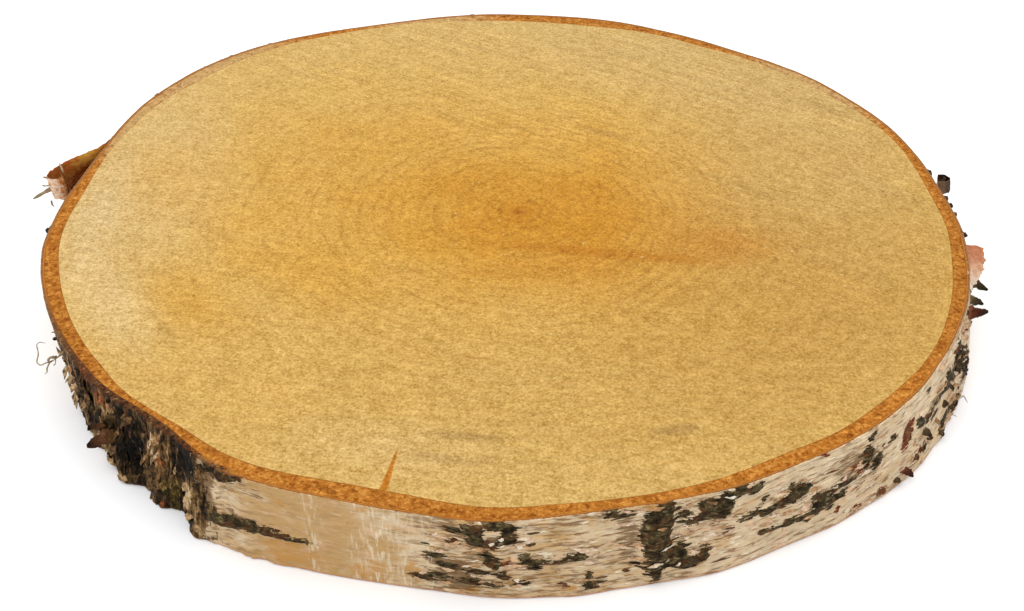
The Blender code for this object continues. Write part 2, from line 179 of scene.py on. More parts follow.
@dataclass(frozen=True)
class Trunk:
    """The form that the layers of the log share."""

    thickness: float = 25.0
    rim: float = 135.0
    inner_bark_width: float = 4.2
    outer_bark_thickness: float = 1.0
    layer_gap: float = 0.3
    bark_proud: float = 0.4
    flare: float = 0.4
    lean: float = 3.9
    lean_bearing: float = -2.0
    rim_swellings: Swellings = (
        (137, 27, 3.5), (172, 21, -3.6), (105, 22, -1.6), (97, 15, 0.9), (75, 13, 0.7), (53, 17, -1.1),
        (40, 15, 1.1), (25, 13, 0.8), (6, 12, -1.1), (-20, 15, 1), (-40, 22, 1.6), (-52, 20, 0.4),
        (-77, 12, -0.9), (-92, 9, 1.1), (-117, 12, 1.4), (-130, 10, -2), (-156, 20, 0.6),
    )
    bark_swellings: Swellings = (
        (-160, 18, 0.7), (-132, 11, -1.9), (-106, 20, 1.4), (-98, 24, 0.7), (-76, 12, -0.7),
        (-58, 9, 0.8), (-44, 11, 0.6), (-31, 10, -0.7), (-14, 10, 0.5), (20, 26, -1.1), (51, 8, -1),
        (76, 13, 1.8), (90, 20, 1.6), (110, 20, -1.7), (142, 15, 1.8), (168, 14, -1.5),
    )
    foot_swellings: Swellings = (
        (-110, 8, 0.8), (-94, 11, -1.3), (-82, 4, 0.5), (-59, 10, -1.1), (-38, 13, 1.5), (-40, 22, -1.6),
    )
    rough_bearing: float = -132.0
    rough_half_width: float = 22.0
    rough_top: float = 1.3
    rough_foot: float = 5.6
    rough_lumps: Swellings = ((-122.5, 4.5, 1.4), (-126.5, 2.5, -1.6))
    ridge_pitch: float = 7.0
    ridge_length: float = 20.0
    ridge_mean: float = 0.8
    ridge_swing: float = 0.6
    ridge_slice: float = 3.1
    paper_wave: float = 0.35
    paper_wave_pitch: float = 16.0
    paper_wave_stretch: float = 2.0
    deepest_pit: float = 0.35
    plate_shoulder: Pair = (0.55, 1.3)
    cork_plates: tuple[Mark, ...] = (
        (-118.5, 1.6, 4, 2, 0.9), (-118.5, 14.5, 4.5, 3, 1.3), (-113, 15, 7, 1.5, 0.9),
        (-91.8, 3.8, 5.5, 3.6, 0.8), (-90, 9.8, 2, 3, 0.6), (-92.5, 17, 9, 4, 0.5),
        (-85, 12.8, 9.5, 1.5, 0.9), (-74, 6.5, 3.8, 6.5, 1.2), (-74.4, 16.5, 3.6, 6.5, 1.2),
        (-68.5, 5, 6.5, 2.2, 1.1), (-65, 1.9, 5, 1.6, 0.8), (-70.8, 18.2, 4.6, 2.4, 1),
        (-60.8, 8.7, 9.5, 1.8, 1.1), (-57.5, 15.6, 11, 2.2, 1.2), (-51.5, 11.8, 5, 1.3, 0.7),
        (-48, 6.8, 2, 3.2, 0.6), (-41.3, 10.6, 2.8, 3.6, -0.5), (-31, 8.6, 6, 2.4, 0.9),
        (-28.2, 4.8, 4.5, 1.9, 0.8), (-23.8, 15.6, 5.6, 4, 1), (-37.8, 10.5, 4, 1.6, 0.5),
        (-33, 23, 3.6, 2, 0.9), (-15, 11, 4.5, 2.6, 0.6), (-9, 18, 6, 2.2, 0.6), (-2, 7, 6.5, 2, 0.7),
    )
    far_plates: int = 27
    far_seed: int = 11
    far_bearings: Pair = (8.0, 184.0)

    def rim_radius(self, bearing: Array, drop: Array) -> Array:
        """Find the inner bark's outer edge.

        Args:
            bearing: Bearings to read.
            drop: Drops to read.

        Returns:
            The radius at each place.
        """
        rim = self.rim + sum_swellings(self.rim_swellings, bearing)
        lean = self.lean * np.cos(np.radians(bearing - self.lean_bearing))
        foot = self.flare + lean + sum_swellings(self.foot_swellings, bearing)
        return rim + foot * drop / self.thickness

    def wood_radius(self, bearing: Array, drop: Array) -> Array:
        """Return the radius of the wood."""
        width = self.inner_bark_width + sum_swellings(self.bark_swellings, bearing)
        return self.rim_radius(bearing, drop) - width

    def inner_bark_face(self, bearing: Array, drop: Array) -> Array:
        """Return the radius of the inner bark's outer face."""
        return self.rim_radius(bearing, drop) + self.bark_proud - self.outer_bark_thickness - self.layer_gap

    def outer_bark_inside(self, bearing: Array, drop: Array) -> Array:
        """Return the radius of the outer bark's hidden face."""
        return self.inner_bark_face(bearing, drop) + self.layer_gap

    def hidden_plates(self) -> list[Mark]:
        """Return the cork plates of the far side, drawn with a fixed seed."""
        draw = random.Random(self.far_seed)
        step = (self.far_bearings[1] - self.far_bearings[0]) / self.far_plates
        plates = []
        for index in range(self.far_plates):
            bearing = self.far_bearings[0] + step * (index + draw.uniform(0.1, 0.9))
            size = (draw.uniform(2.0, 23.0), draw.uniform(3.0, 11.0), draw.uniform(1.3, 3.4))
            plates.append((bearing, *size, draw.uniform(0.6, 1.2)))
        return plates

    def plate_height(self, bearing: Array, drop: Array) -> Array:
        """Find how far the cork plates raise the bark.

        Args:
            bearing: Bearings to read.
            drop: Drops to read.

        Returns:
            The height at each place.
        """
        height = np.zeros_like(bearing)
        full, gone = self.plate_shoulder
        for middle, plate_drop, half_length, half_height, proud in (*self.cork_plates, *self.hidden_plates()):
            along = np.radians(turn_between(bearing, middle)) * self.rim / half_length
            distance = np.hypot(along, (drop - plate_drop) / half_height)
            height = height + proud * smooth_step(distance, gone, full)
        return height

    def rough_weight(self, bearing: Array) -> Array:
        """Return how much of the old fissured bark is at a bearing, from 0 to 1."""
        return np.sqrt(raised_cosine(turn_between(bearing, self.rough_bearing), self.rough_half_width))

    def rough_height(self, bearing: Array, drop: Array) -> Array:
        """Find the height of the old fissured bark.

        Args:
            bearing: Bearings to read.
            drop: Drops to read.

        Returns:
            The height at each place.
        """
        weight = self.rough_weight(bearing)
        deep = drop / self.thickness
        thick = self.rough_top + (self.rough_foot - self.rough_top) * deep
        along = np.radians(bearing) * self.rim
        ridge = noise_at(along / self.ridge_pitch, drop / self.ridge_length, self.ridge_slice + 0.0 * along)
        lump = sum_swellings(self.rough_lumps, bearing) * deep
        height = weight * thick * (self.ridge_mean + self.ridge_swing * ridge) + lump
        return np.where(weight > 0.0, height, 0.0)

    def place(self, bearing: Array, drop: Array, stretch: float) -> tuple[Array, Array, Array]:
        """Return where a spot of the wall lies in noise space, with drops stretched."""
        angle = np.radians(bearing)
        return self.rim * np.cos(angle), self.rim * np.sin(angle), drop * stretch

    def relief(self, bearing: Array, drop: Array) -> Array:
        """Return how far the bark stands out of its plain wall."""
        x, y, z = self.place(bearing, drop, self.paper_wave_stretch)
        pitch = self.paper_wave_pitch
        wave = self.paper_wave * noise_at(x / pitch, y / pitch, z / pitch)
        height = self.plate_height(bearing, drop) + self.rough_height(bearing, drop) + wave
        return np.maximum(height, -self.deepest_pit)

    def bark_radius(self, bearing: Array, drop: Array) -> Array:
        """Return the radius of the outer bark's weathered face."""
        return self.rim_radius(bearing, drop) + self.bark_proud + self.relief(bearing, drop)

    def point(self, radius: Array, bearing: Array, drop: Array) -> Array:
        """Place points of the log.

        Args:
            radius: Distances from the log's axis.
            bearing: Bearings of the points.
            drop: Drops of the points.

        Returns:
            The points, with a last axis of x, y and z.
        """
        angle = np.radians(bearing)
        radius, angle, drop = np.broadcast_arrays(radius, angle, drop)
        return np.stack([radius * np.cos(angle), radius * np.sin(angle), self.thickness - drop], axis=-1)


def grid_faces(rows: int, columns: int, loop_rows: bool = False, loop_columns: bool = False) -> Array:
    """List the four-cornered faces of a grid of vertices.

    Args:
        rows: Rows of vertices.
        columns: Columns of vertices.
        loop_rows: Whether the last row joins the first.
        loop_columns: Whether the last column joins the first.

    Returns:
        Four vertex numbers for each face.
    """
    number = np.arange(rows * columns).reshape(rows, columns)
    if loop_rows:
        number = np.vstack([number, number[:1]])
    if loop_columns:
        number = np.hstack([number, number[:, :1]])
    corners = (number[:-1, :-1], number[:-1, 1:], number[1:, 1:], number[1:, :-1])
    return np.stack([corner.ravel() for corner in corners], axis=1)


class MeshBatch:
    """Gathers vertices, faces and named values, and turns them into one object."""

    def __init__(self, *value_names: str) -> None:
        """Start an empty batch whose vertices carry the named values."""
        self.names = value_names
        self.points: list[Array] = []
        self.faces: list[list[int]] = []
        self.values: dict[str, list[Array]] = {name: [] for name in value_names}
        self.count = 0

    def add(self, points: Array, faces: Sequence[Sequence[int]], **values: Array) -> None:
        """Add a closed shape.

        Args:
            points: Its vertices, with a last axis of x, y and z.
            faces: Its faces, as numbers of those vertices.
            **values: Named values, one for each vertex or one for all.
        """
        flat = np.asarray(points, float).reshape(-1, 3)
        self.points.append(flat)
        self.faces.extend((np.asarray(face) + self.count).tolist() for face in faces)
        for name in self.names:
            value = np.asarray(values.get(name, 0.0), float)
            self.values[name].append(np.broadcast_to(value.ravel(), len(flat)).copy())
        self.count += len(flat)

    def make(self, name: str, material: Material, sharp_degrees: float) -> Thing:
        """Make the object.

        Args:
            name: Its name.
            material: Its finish.
            sharp_degrees: Angle past which an edge stays sharp.

        Returns:
            The new object, in the scene.
        """
        data = bpy.data.meshes.new(name)
        data.from_pydata((np.vstack(self.points) * MM).tolist(), [], self.faces)
        for value_name, parts in self.values.items():
            attribute = data.attributes.new(value_name, "FLOAT", "POINT")
            attribute.data.foreach_set("value", np.concatenate(parts).astype(np.float32))
        mesh = bmesh.new()
        mesh.from_mesh(data)
        bmesh.ops.recalc_face_normals(mesh, faces=mesh.faces)
        mesh.to_mesh(data)
        mesh.free()
        data.materials.append(material)
        data.shade_smooth()
        data.set_sharp_from_angle(angle=math.radians(sharp_degrees))
        thing = bpy.data.objects.new(name, data)
        bpy.context.scene.collection.objects.link(thing)
        return thing


def border_faces(rows: int, columns: int) -> list[list[int]]:
    """Close the border between a grid and its copy, whose vertices follow the grid's own.

    Args:
        rows: Rows of vertices.
        columns: Columns of vertices.

    Returns:
        Four vertex numbers for each face.
    """
    count = rows * columns
    number = np.arange(count).reshape(rows, columns)
    border = [*number[0, :-1], *number[:-1, -1], *number[-1, :0:-1], *number[:0:-1, 0]]
    pairs = zip(border, border[1:] + border[:1])
    return [[int(after), int(here), int(here) + count, int(after) + count] for here, after in pairs]


def tube_faces(rings: int, corners: int) -> list[list[int]]:
    """Return the faces of a closed tube: its wall, and a cap at each end."""
    last = (rings - 1) * corners
    caps = [list(range(corners)), [last + corner for corner in reversed(range(corners))]]
    return grid_faces(rings, corners, loop_columns=True).tolist() + caps


def thin_sheet(middle: Array, thickness: Array) -> tuple[Array, list[list[int]], Array]:
    """Thicken a grid of points into a closed sheet.

    Args:
        middle: The sheet's middle surface, rows by columns by x, y and z.
        thickness: Thickness at each point, or one for all.

    Returns:
        The vertices, the faces, and 1 or -1 for the side that each vertex is on.
    """
    rows, columns = middle.shape[:2]
    across = np.cross(np.gradient(middle, axis=0), np.gradient(middle, axis=1))
    normal = across / np.maximum(np.linalg.norm(across, axis=-1, keepdims=True), 1e-9)
    half = np.broadcast_to(np.asarray(thickness, float), (rows, columns))[..., None] / 2.0
    points = np.vstack([(middle + side * normal * half).reshape(-1, 3) for side in (1.0, -1.0)])
    count = rows * columns
    quads = grid_faces(rows, columns)
    faces = quads.tolist() + (quads[:, ::-1] + count).tolist() + border_faces(rows, columns)
    return points, faces, np.repeat([1.0, -1.0], count)


def tube(route: Array, radius: Array, sides: int = 5) -> tuple[Array, list[list[int]]]:
    """Wrap a closed tube round a route.

    Args:
        route: The points that the tube follows.
        radius: Its radius at each point.
        sides: Corners of its section.

    Returns:
        The vertices and the faces.
    """
    heading = np.gradient(route, axis=0)
    heading = heading / np.maximum(np.linalg.norm(heading, axis=1, keepdims=True), 1e-9)
    side = np.cross(heading[0], (0.3, 0.5, 0.8))
    rings = []
    for place, ahead, reach in zip(route, heading, np.broadcast_to(radius, len(route))):
        side = side - ahead * np.dot(side, ahead)
        side = side / np.linalg.norm(side)
        other = np.cross(ahead, side)
        angles = 2.0 * np.pi * np.arange(sides) / sides
        rings.append(place + reach * (np.outer(np.cos(angles), side) + np.outer(np.sin(angles), other)))
    return np.vstack(rings), tube_faces(len(route), sides)


class NodeGraph:
    """A material's node tree, with short ways to add the nodes that the finishes use."""

    def __init__(self, name: str) -> None:
        """Start a material with a plain Principled shader, and find the place in millimetres."""
        self.material = bpy.data.materials.new(name)
        self.material.use_nodes = True
        self.tree = self.material.node_tree
        self.shader = self.tree.nodes["Principled BSDF"]
        coordinates = self.add("ShaderNodeTexCoord").outputs["Object"]
        self.place = self.scaled(coordinates, 1.0 / MM, 1.0 / MM, 1.0 / MM)

    def feed(self, target: Socket, value: Feed) -> None:
        """Link a socket to a target, or set the target's own value."""
        if isinstance(value, bpy.types.NodeSocket):
            self.tree.links.new(value, target)
        elif value is not None:
            target.default_value = value

    def add(self, kind: str, *inputs: Feed, **settings: object) -> bpy.types.Node:
        """Add a node.

        Args:
            kind: The node's type.
            *inputs: What feeds its inputs, in order.
            **settings: Its own settings.

        Returns:
            The new node.
        """
        node = self.tree.nodes.new(kind)
        for key, value in settings.items():
            setattr(node, key, value)
        for target, value in zip(node.inputs, inputs):
            self.feed(target, value)
        return node

    def math(self, operation: str, first: Feed, second: Feed = None, third: Feed = None) -> Socket:
        """Return the result of a Math node."""
        return self.add("ShaderNodeMath", first, second, third, operation=operation).outputs[0]

    def plus(self, first: Feed, second: Feed) -> Socket:
        """Return a sum."""
        return self.math("ADD", first, second)

    def times(self, first: Feed, second: Feed) -> Socket:
        """Return a product."""
        return self.math("MULTIPLY", first, second)

    def vector(self, operation: str, first: Feed, second: Feed = None) -> Socket:
        """Return the vector that a Vector Math node gives."""
        return self.add("ShaderNodeVectorMath", first, second, operation=operation).outputs[0]

    def scaled(self, place: Socket, x: float, y: float, z: float) -> Socket:
        """Return a place with each coordinate multiplied."""
        return self.vector("MULTIPLY", place, (x, y, z))

    def value(self, name: str) -> Socket:
        """Return a value that the mesh's vertices carry."""
        return self.add("ShaderNodeAttribute", attribute_name=name).outputs["Fac"]

    def noise(
        self, pitch: float, detail: float = 3.0, rough: float = 0.55, squeeze: Pair = (1.0, 1.0),
        at: Feed = None,
    ) -> Socket:
        """Read fractal noise.

        Args:
            pitch: Size of its largest features.
            detail: Number of finer layers.
            rough: Strength of the finer layers.
            squeeze: How much denser it is across and down the trunk.
            at: Where to read it, or None for the place itself.

        Returns:
            Noise from about 0.2 to 0.8, with its mean at 0.5.
        """
        spot = self.place if at is None else at
        if squeeze != (1.0, 1.0):
            spot = self.scaled(spot, squeeze[0], *squeeze)
        return self.add("ShaderNodeTexNoise", spot, None, 1.0 / pitch, detail, rough).outputs[0]

    def cells(self, pitch: float) -> bpy.types.Node:
        """Return a Voronoi node with cells of a pitch."""
        return self.add("ShaderNodeTexVoronoi", self.place, None, 1.0 / pitch)

    def step(self, value: Feed, low: float, high: float, bottom: float = 0.0, top: float = 1.0) -> Socket:
        """Return a smooth step from the bottom result at the low value to the top one at the high."""
        settings = {"interpolation_type": "SMOOTHSTEP"}
        return self.add("ShaderNodeMapRange", value, low, high, bottom, top, **settings).outputs[0]

    def ramp(self, value: Socket, stops: Stops) -> Socket:
        """Read a colour from a ramp of display colours.

        Args:
            value: Place on the ramp, from 0 to 1.
            stops: Place and colour of each stop.

        Returns:
            The colour.
        """
        node = self.add("ShaderNodeValToRGB", value)
        ramp = node.color_ramp
        while len(ramp.elements) < len(stops):
            ramp.elements.new(0.5)
        for element, (position, colour) in zip(ramp.elements, stops):
            element.position = position
            element.color = linear(colour)
        return node.outputs[0]

    def mix(self, share: Feed, first: Feed, second: Feed, blend: str = "MIX") -> Socket:
        """Return two colours blended by the share of the second."""
        feeds = (share, None, None, None, None, None, first, second)
        return self.add("ShaderNodeMix", *feeds, data_type="RGBA", blend_type=blend).outputs[2]

    def brighten(self, colour: Feed, amount: Feed) -> Socket:
        """Return a colour multiplied by an amount."""
        if isinstance(colour, tuple):
            colour = colour[:3]
        return self.add("ShaderNodeVectorMath", colour, None, None, amount, operation="SCALE").outputs[0]

    def tinted(self, colour: Socket, share: Socket, first: Triple, second: Triple) -> Socket:
        """Return a colour multiplied by a tint that lies between two, by a share."""
        tint = self.mix(share, (*first, 1.0), (*second, 1.0))
        return self.vector("MULTIPLY", colour, tint)

    def centred(self, value: Socket, reach: float) -> Socket:
        """Return noise shifted to lie round 0 and multiplied by a reach."""
        return self.math("MULTIPLY_ADD", value, reach, -0.5 * reach)

    def stirred(self, value: Feed, noise: Socket, reach: float) -> Socket:
        """Return a value with noise round 0 added."""
        return self.plus(value, self.centred(noise, reach))

    def placed(self, middle: Pair, turn: float, size: Pair) -> Socket:
        """Return the place on the sawn face in a frame that is shifted, turned and stretched."""
        mapping = self.add("ShaderNodeMapping", self.place, vector_type="TEXTURE")
        mapping.inputs["Location"].default_value = (*middle, 0.0)
        mapping.inputs["Rotation"].default_value = (0.0, 0.0, math.radians(turn))
        mapping.inputs["Scale"].default_value = (*size, 1.0e6)
        return mapping.outputs[0]

    def swing(self, value: Socket, middle: float, reach: float) -> Socket:
        """Return a factor round 1 from noise round its middle."""
        return self.math("MULTIPLY_ADD", self.math("SUBTRACT", value, middle), reach, 1.0)

    def finish(self, colour: Socket, roughness: Feed, height: Socket, depth: float) -> Material:
        """Feed the shader.

        Args:
            colour: Base colour.
            roughness: Roughness, as a number or a socket.
            height: Height of the fine relief, from about 0 to 1.
            depth: Depth of that relief.

        Returns:
            The finished material.
        """
        bump = self.add("ShaderNodeBump")
        self.feed(bump.inputs["Height"], height)
        bump.inputs["Distance"].default_value = depth * MM
        bump.inputs["Strength"].default_value = 1.0
        self.feed(self.shader.inputs["Base Color"], colour)
        self.feed(self.shader.inputs["Roughness"], roughness)
        self.feed(self.shader.inputs["Normal"], bump.outputs[0])
        self.shader.inputs["Specular IOR Level"].default_value = DULL_SPECULAR
        return self.material


@dataclass(frozen=True)
class Stain:
    """A coloured spot on the sawn face: an ellipse with an uneven edge."""

    x: float
    y: float
    half_x: float
    half_y: float
    turn: float
    colour: Colour
    strength: float
    softness: float = 0.6
    ragged: float = 0.6

    def share(self, graph: NodeGraph, unevenness: Socket) -> Socket:
        """Work out how much of the stain is at a place.

        Args:
            graph: The material's nodes.
            unevenness: Noise round 0 that makes the edge uneven.

        Returns:
            The stain's share, from 0 to its strength.
        """
        local = graph.placed((self.x, self.y), self.turn, (self.half_x, self.half_y))
        length = graph.add("ShaderNodeVectorMath", local, operation="LENGTH").outputs["Value"]
        uneven = graph.math("MULTIPLY_ADD", unevenness, self.ragged, length)
        return graph.step(uneven, 1.0 + self.softness, 1.0 - self.softness, 0.0, self.strength)


@dataclass(frozen=True)
class WoodFinish:
    """Sawn birch end grain: a golden heart, growth rings, saw marks, specks and small stains."""

    name: str = "sawn_wood"
    pith: Pair = (3.9, -3.8)
    heart: Pair = (17.0, -9.0)
    heart_half: Pair = (60.0, 38.0)
    heart_turn: float = -10.0
    heart_reach: float = 3.4
    tones: Stops = (
        (0, (203, 141, 46)), (0.13, (206, 147, 54)), (0.26, (211, 157, 66)), (0.4, (215, 166, 80)),
        (0.58, (216, 173, 93)), (0.8, (216, 176, 102)), (1, (214, 177, 108)),
    )
    ring_radii: tuple[float, ...] = (
        2.4, 7.2, 10.8, 15.6, 20.4, 25.8, 30.4, 35.2, 40, 43.9, 48.3, 53, 58, 62.3, 65.6, 72.7, 77, 83,
        88, 93.2, 98.4, 103.6, 108.2, 112.6, 118, 123,
    )
    ring_reach: float = 132.0
    ring_strength: float = 0.3
    stains: tuple[Stain, ...] = (
        Stain(96, 20, 40, 70, 0, (198, 162, 100), 0.65, 0.8, 0.3),
        Stain(-112, 10, 20, 60, 0, (216, 184, 126), 0.7, 0.8, 0.3),
        Stain(60, 96, 70, 26, -28, (206, 172, 112), 0.5, 0.8, 0.3),
        Stain(20, -92, 110, 40, 0, (204, 163, 90), 0.7, 0.8, 0.3),
        Stain(-70, -78, 50, 30, -40, (213, 170, 92), 0.6, 0.8, 0.3),
        Stain(82, -52, 48, 36, 40, (194, 150, 76), 0.7, 0.8, 0.3),
        Stain(-26, -112, 22, 9, -10, (218, 184, 120), 0.5, 0.8, 0.8),
        Stain(-86, -52, 16, 9, -48, (214, 160, 66), 0.55, 0.8, 1),
        Stain(-52, -40, 22, 12, -30, (214, 160, 66), 0.5, 0.8, 1),
        Stain(-104, 14, 12, 20, 10, (218, 168, 84), 0.5, 0.8, 1),
        Stain(-46, 40, 26, 14, 20, (214, 162, 74), 0.45, 0.8, 1),
        Stain(-108, -52, 8, 22, 30, (226, 196, 138), 0.6, 0.8, 0.8),
        Stain(-122, -10, 7, 26, 0, (222, 192, 138), 0.6, 0.8, 0.8),
        Stain(28, -25, 30, 2.6, -7.5, (188, 119, 34), 0.6, 0.6, 1.1),
        Stain(63, -20, 13, 9, 0, (196, 128, 42), 0.45, 0.8, 0.7),
        Stain(15, -34, 20, 5, 5, (198, 134, 48), 0.4, 0.8, 0.8),
        Stain(3.9, -3.8, 5, 4, 0, (190, 122, 34), 0.6, 0.7, 0.9),
        Stain(3.9, -3.8, 1.3, 1, 0, (162, 92, 30), 0.7, 0.5, 0.9),
    )
    specks: tuple[Stain, ...] = (
        Stain(-9, -106.5, 10, 1.5, -6, (144, 110, 62), 0.42, 0.6, 1.8),
        Stain(-12, -115, 9, 1.6, -4, (152, 116, 66), 0.38, 0.6, 1.8),
        Stain(43, -103, 5.5, 1.8, 12, (148, 112, 66), 0.4, 0.6, 1.8),
        Stain(30, 46, 9, 2, -28, (172, 132, 76), 0.4, 0.7, 1.8),
        Stain(-92, -62, 9, 1.4, -52, (178, 136, 70), 0.35, 0.6, 1.8),
    )
    check_start: Pair = (-24.9, -110.9)
    check_end: Pair = (-27.3, -126.2)
    check_half_width: Pair = (0.14, 0.95)
    check_colour: Colour = (184, 108, 14)
    late_wood: Colour = (222, 168, 96)
    fleck: Colour = (238, 206, 136)
    pit: Colour = (158, 112, 44)
    saw_turn: float = -34.0
    fine_saw_turn: float = -9.0
    grain_dark: Triple = (0.6, 0.49, 0.22)
    grain_light: Triple = (1.4, 1.51, 1.78)
    roughness: float = 0.78

    def rings(self, graph: NodeGraph) -> Socket:
        """Draw the growth rings.

        Args:
            graph: The material's nodes.

        Returns:
            The strength of the dark late wood, from 0 to 1.
        """
        flat = graph.scaled(graph.place, 1.0, 1.0, 0.0)
        centred = graph.vector("SUBTRACT", flat, (self.pith[0], self.pith[1], 0.0))
        wide = graph.centred(graph.noise(38.0, 1.0, at=flat), 6.0)
        small = graph.centred(graph.noise(5.0, 2.0, at=flat), 2.2)
        length = graph.add("ShaderNodeVectorMath", centred, operation="LENGTH").outputs["Value"]
        radius = graph.plus(graph.plus(length, wide), small)
        count = len(self.ring_radii)
        node = graph.add("ShaderNodeValToRGB", graph.math("DIVIDE", radius, self.ring_reach))
        ramp = node.color_ramp
        while len(ramp.elements) < count + 1:
            ramp.elements.new(0.5)
        for index, position in enumerate((0.0, *self.ring_radii)):
            ramp.elements[index].position = position / self.ring_reach
            ramp.elements[index].color = (index / count, index / count, index / count, 1.0)
        age = graph.math("FRACT", graph.times(node.outputs[0], float(count)))
        late = graph.times(graph.step(age, 0.55, 0.93), graph.step(age, 1.0, 0.95))
        broken = graph.step(graph.noise(11.0, 3.0), 0.36, 0.66, 0.0, 1.0)
        fade = graph.step(length, 30.0, 118.0, 1.0, 0.45)
        return graph.times(graph.times(late, broken), fade)

    def lines(self, graph: NodeGraph, turn: float, length: float, pitch: float) -> Socket:
        """Draw straight marks, as noise round 0 that is drawn out along one direction."""
        local = graph.placed((0.0, 0.0), turn, (length, pitch))
        return graph.centred(graph.noise(1.0, 2.0, 0.6, at=local), 1.0)

    def saw_marks(self, graph: NodeGraph) -> Socket:
        """Draw the straight marks that the saw left.

        Args:
            graph: The material's nodes.

        Returns:
            The change in lightness that they bring, round 0.
        """
        parts = graph.add("ShaderNodeSeparateXYZ", graph.place)
        diagonal = graph.math("MULTIPLY_ADD", parts.outputs[0], 0.6, parts.outputs[1])
        patches = graph.step(graph.noise(30.0, 1.0), 0.38, 0.6, 0.35, 1.0)
        upper = graph.times(graph.step(diagonal, -20.0, 60.0, 0.12, 1.0), patches)
        lower = graph.step(diagonal, 20.0, -60.0, 0.25, 1.0)
        coarse = self.lines(graph, self.saw_turn, 90.0, 4.2)
        dense = self.lines(graph, self.saw_turn, 40.0, 1.15)
        fine = self.lines(graph, self.fine_saw_turn, 17.0, 0.95)
        marks = graph.math("MULTIPLY_ADD", dense, 0.62, graph.times(coarse, 0.34))
        weak = graph.times(fine, graph.times(lower, 0.42))
        return graph.math("MULTIPLY_ADD", marks, upper, weak)

    def check(self, graph: NodeGraph, uneven: Socket) -> Socket:
        """Return the share of the short check, a wedge that widens towards the bark."""
        run = (self.check_end[0] - self.check_start[0], self.check_end[1] - self.check_start[1])
        turn = math.degrees(math.atan2(run[1], run[0]))
        narrow, wide = self.check_half_width
        local = graph.add("ShaderNodeSeparateXYZ", graph.placed(self.check_start, turn, (1.0, 1.0)))
        along, aside = local.outputs[:2]
        across = graph.math("ABSOLUTE", graph.math("MULTIPLY_ADD", uneven, 0.7, aside))
        half = graph.math("MULTIPLY_ADD", along, (wide - narrow) / math.hypot(*run), narrow)
        inside = graph.step(graph.math("SUBTRACT", across, half), 0.3, -0.25)
        return graph.times(inside, graph.step(along, -1.0, 3.0, 0.0, 0.92))

    def build(self) -> Material:
        """Make the material and return it."""
        graph = NodeGraph(self.name)
        coarse = graph.noise(3.4, 3.0, 0.6)
        fine = graph.noise(0.62, 2.0, 0.7)
        uneven = graph.stirred(graph.centred(coarse, 1.0), fine, 0.5)

        local = graph.placed(self.heart, self.heart_turn, self.heart_half)
        away = graph.add("ShaderNodeVectorMath", local, operation="LENGTH").outputs["Value"]
        away = graph.stirred(away, graph.noise(22.0, 2.0), 1.3)
        colour = graph.ramp(graph.math("DIVIDE", away, self.heart_reach), self.tones)
        for stain in self.stains:
            colour = graph.mix(stain.share(graph, uneven), colour, linear(stain.colour))

        late = self.rings(graph)
        darker = graph.mix(1.0, colour, linear(self.late_wood), "MULTIPLY")
        colour = graph.mix(graph.times(late, self.ring_strength), colour, darker)
        saw = self.saw_marks(graph)
        colour = graph.brighten(colour, graph.plus(saw, 1.0))
        for speck in self.specks:
            colour = graph.mix(speck.share(graph, uneven), colour, linear(speck.colour))
        colour = graph.mix(self.check(graph, uneven), colour, linear(self.check_colour))

        grain = graph.noise(0.72, 2.0, 0.8)
        mottle = graph.noise(2.0, 2.0, 0.65)
        cloud = graph.noise(6.5, 2.0, 0.5)
        share = graph.stirred(graph.centred(grain, 1.75), mottle, 0.7)
        share = graph.plus(graph.stirred(share, cloud, 0.28), 0.5)
        colour = graph.tinted(colour, share, self.grain_dark, self.grain_light)
        flat = graph.scaled(graph.place, 1.0, 0.8, 1.0)
        flecks = graph.step(graph.noise(1.1, 1.0, at=flat), 0.68, 0.80, 0.0, 0.6)
        colour = graph.mix(flecks, colour, linear(self.fleck))
        shifted = graph.vector("ADD", graph.place, (70.0, 30.0, 5.0))
        pits = graph.step(graph.noise(1.2, 1.0, at=shifted), 0.69, 0.80, 0.0, 0.6)
        colour = graph.mix(pits, colour, linear(self.pit))

        height = graph.math("MULTIPLY_ADD", grain, 0.7, graph.times(saw, 0.9))
        height = graph.math("MULTIPLY_ADD", late, -0.1, height)
        return graph.finish(colour, self.roughness, height, 0.16)


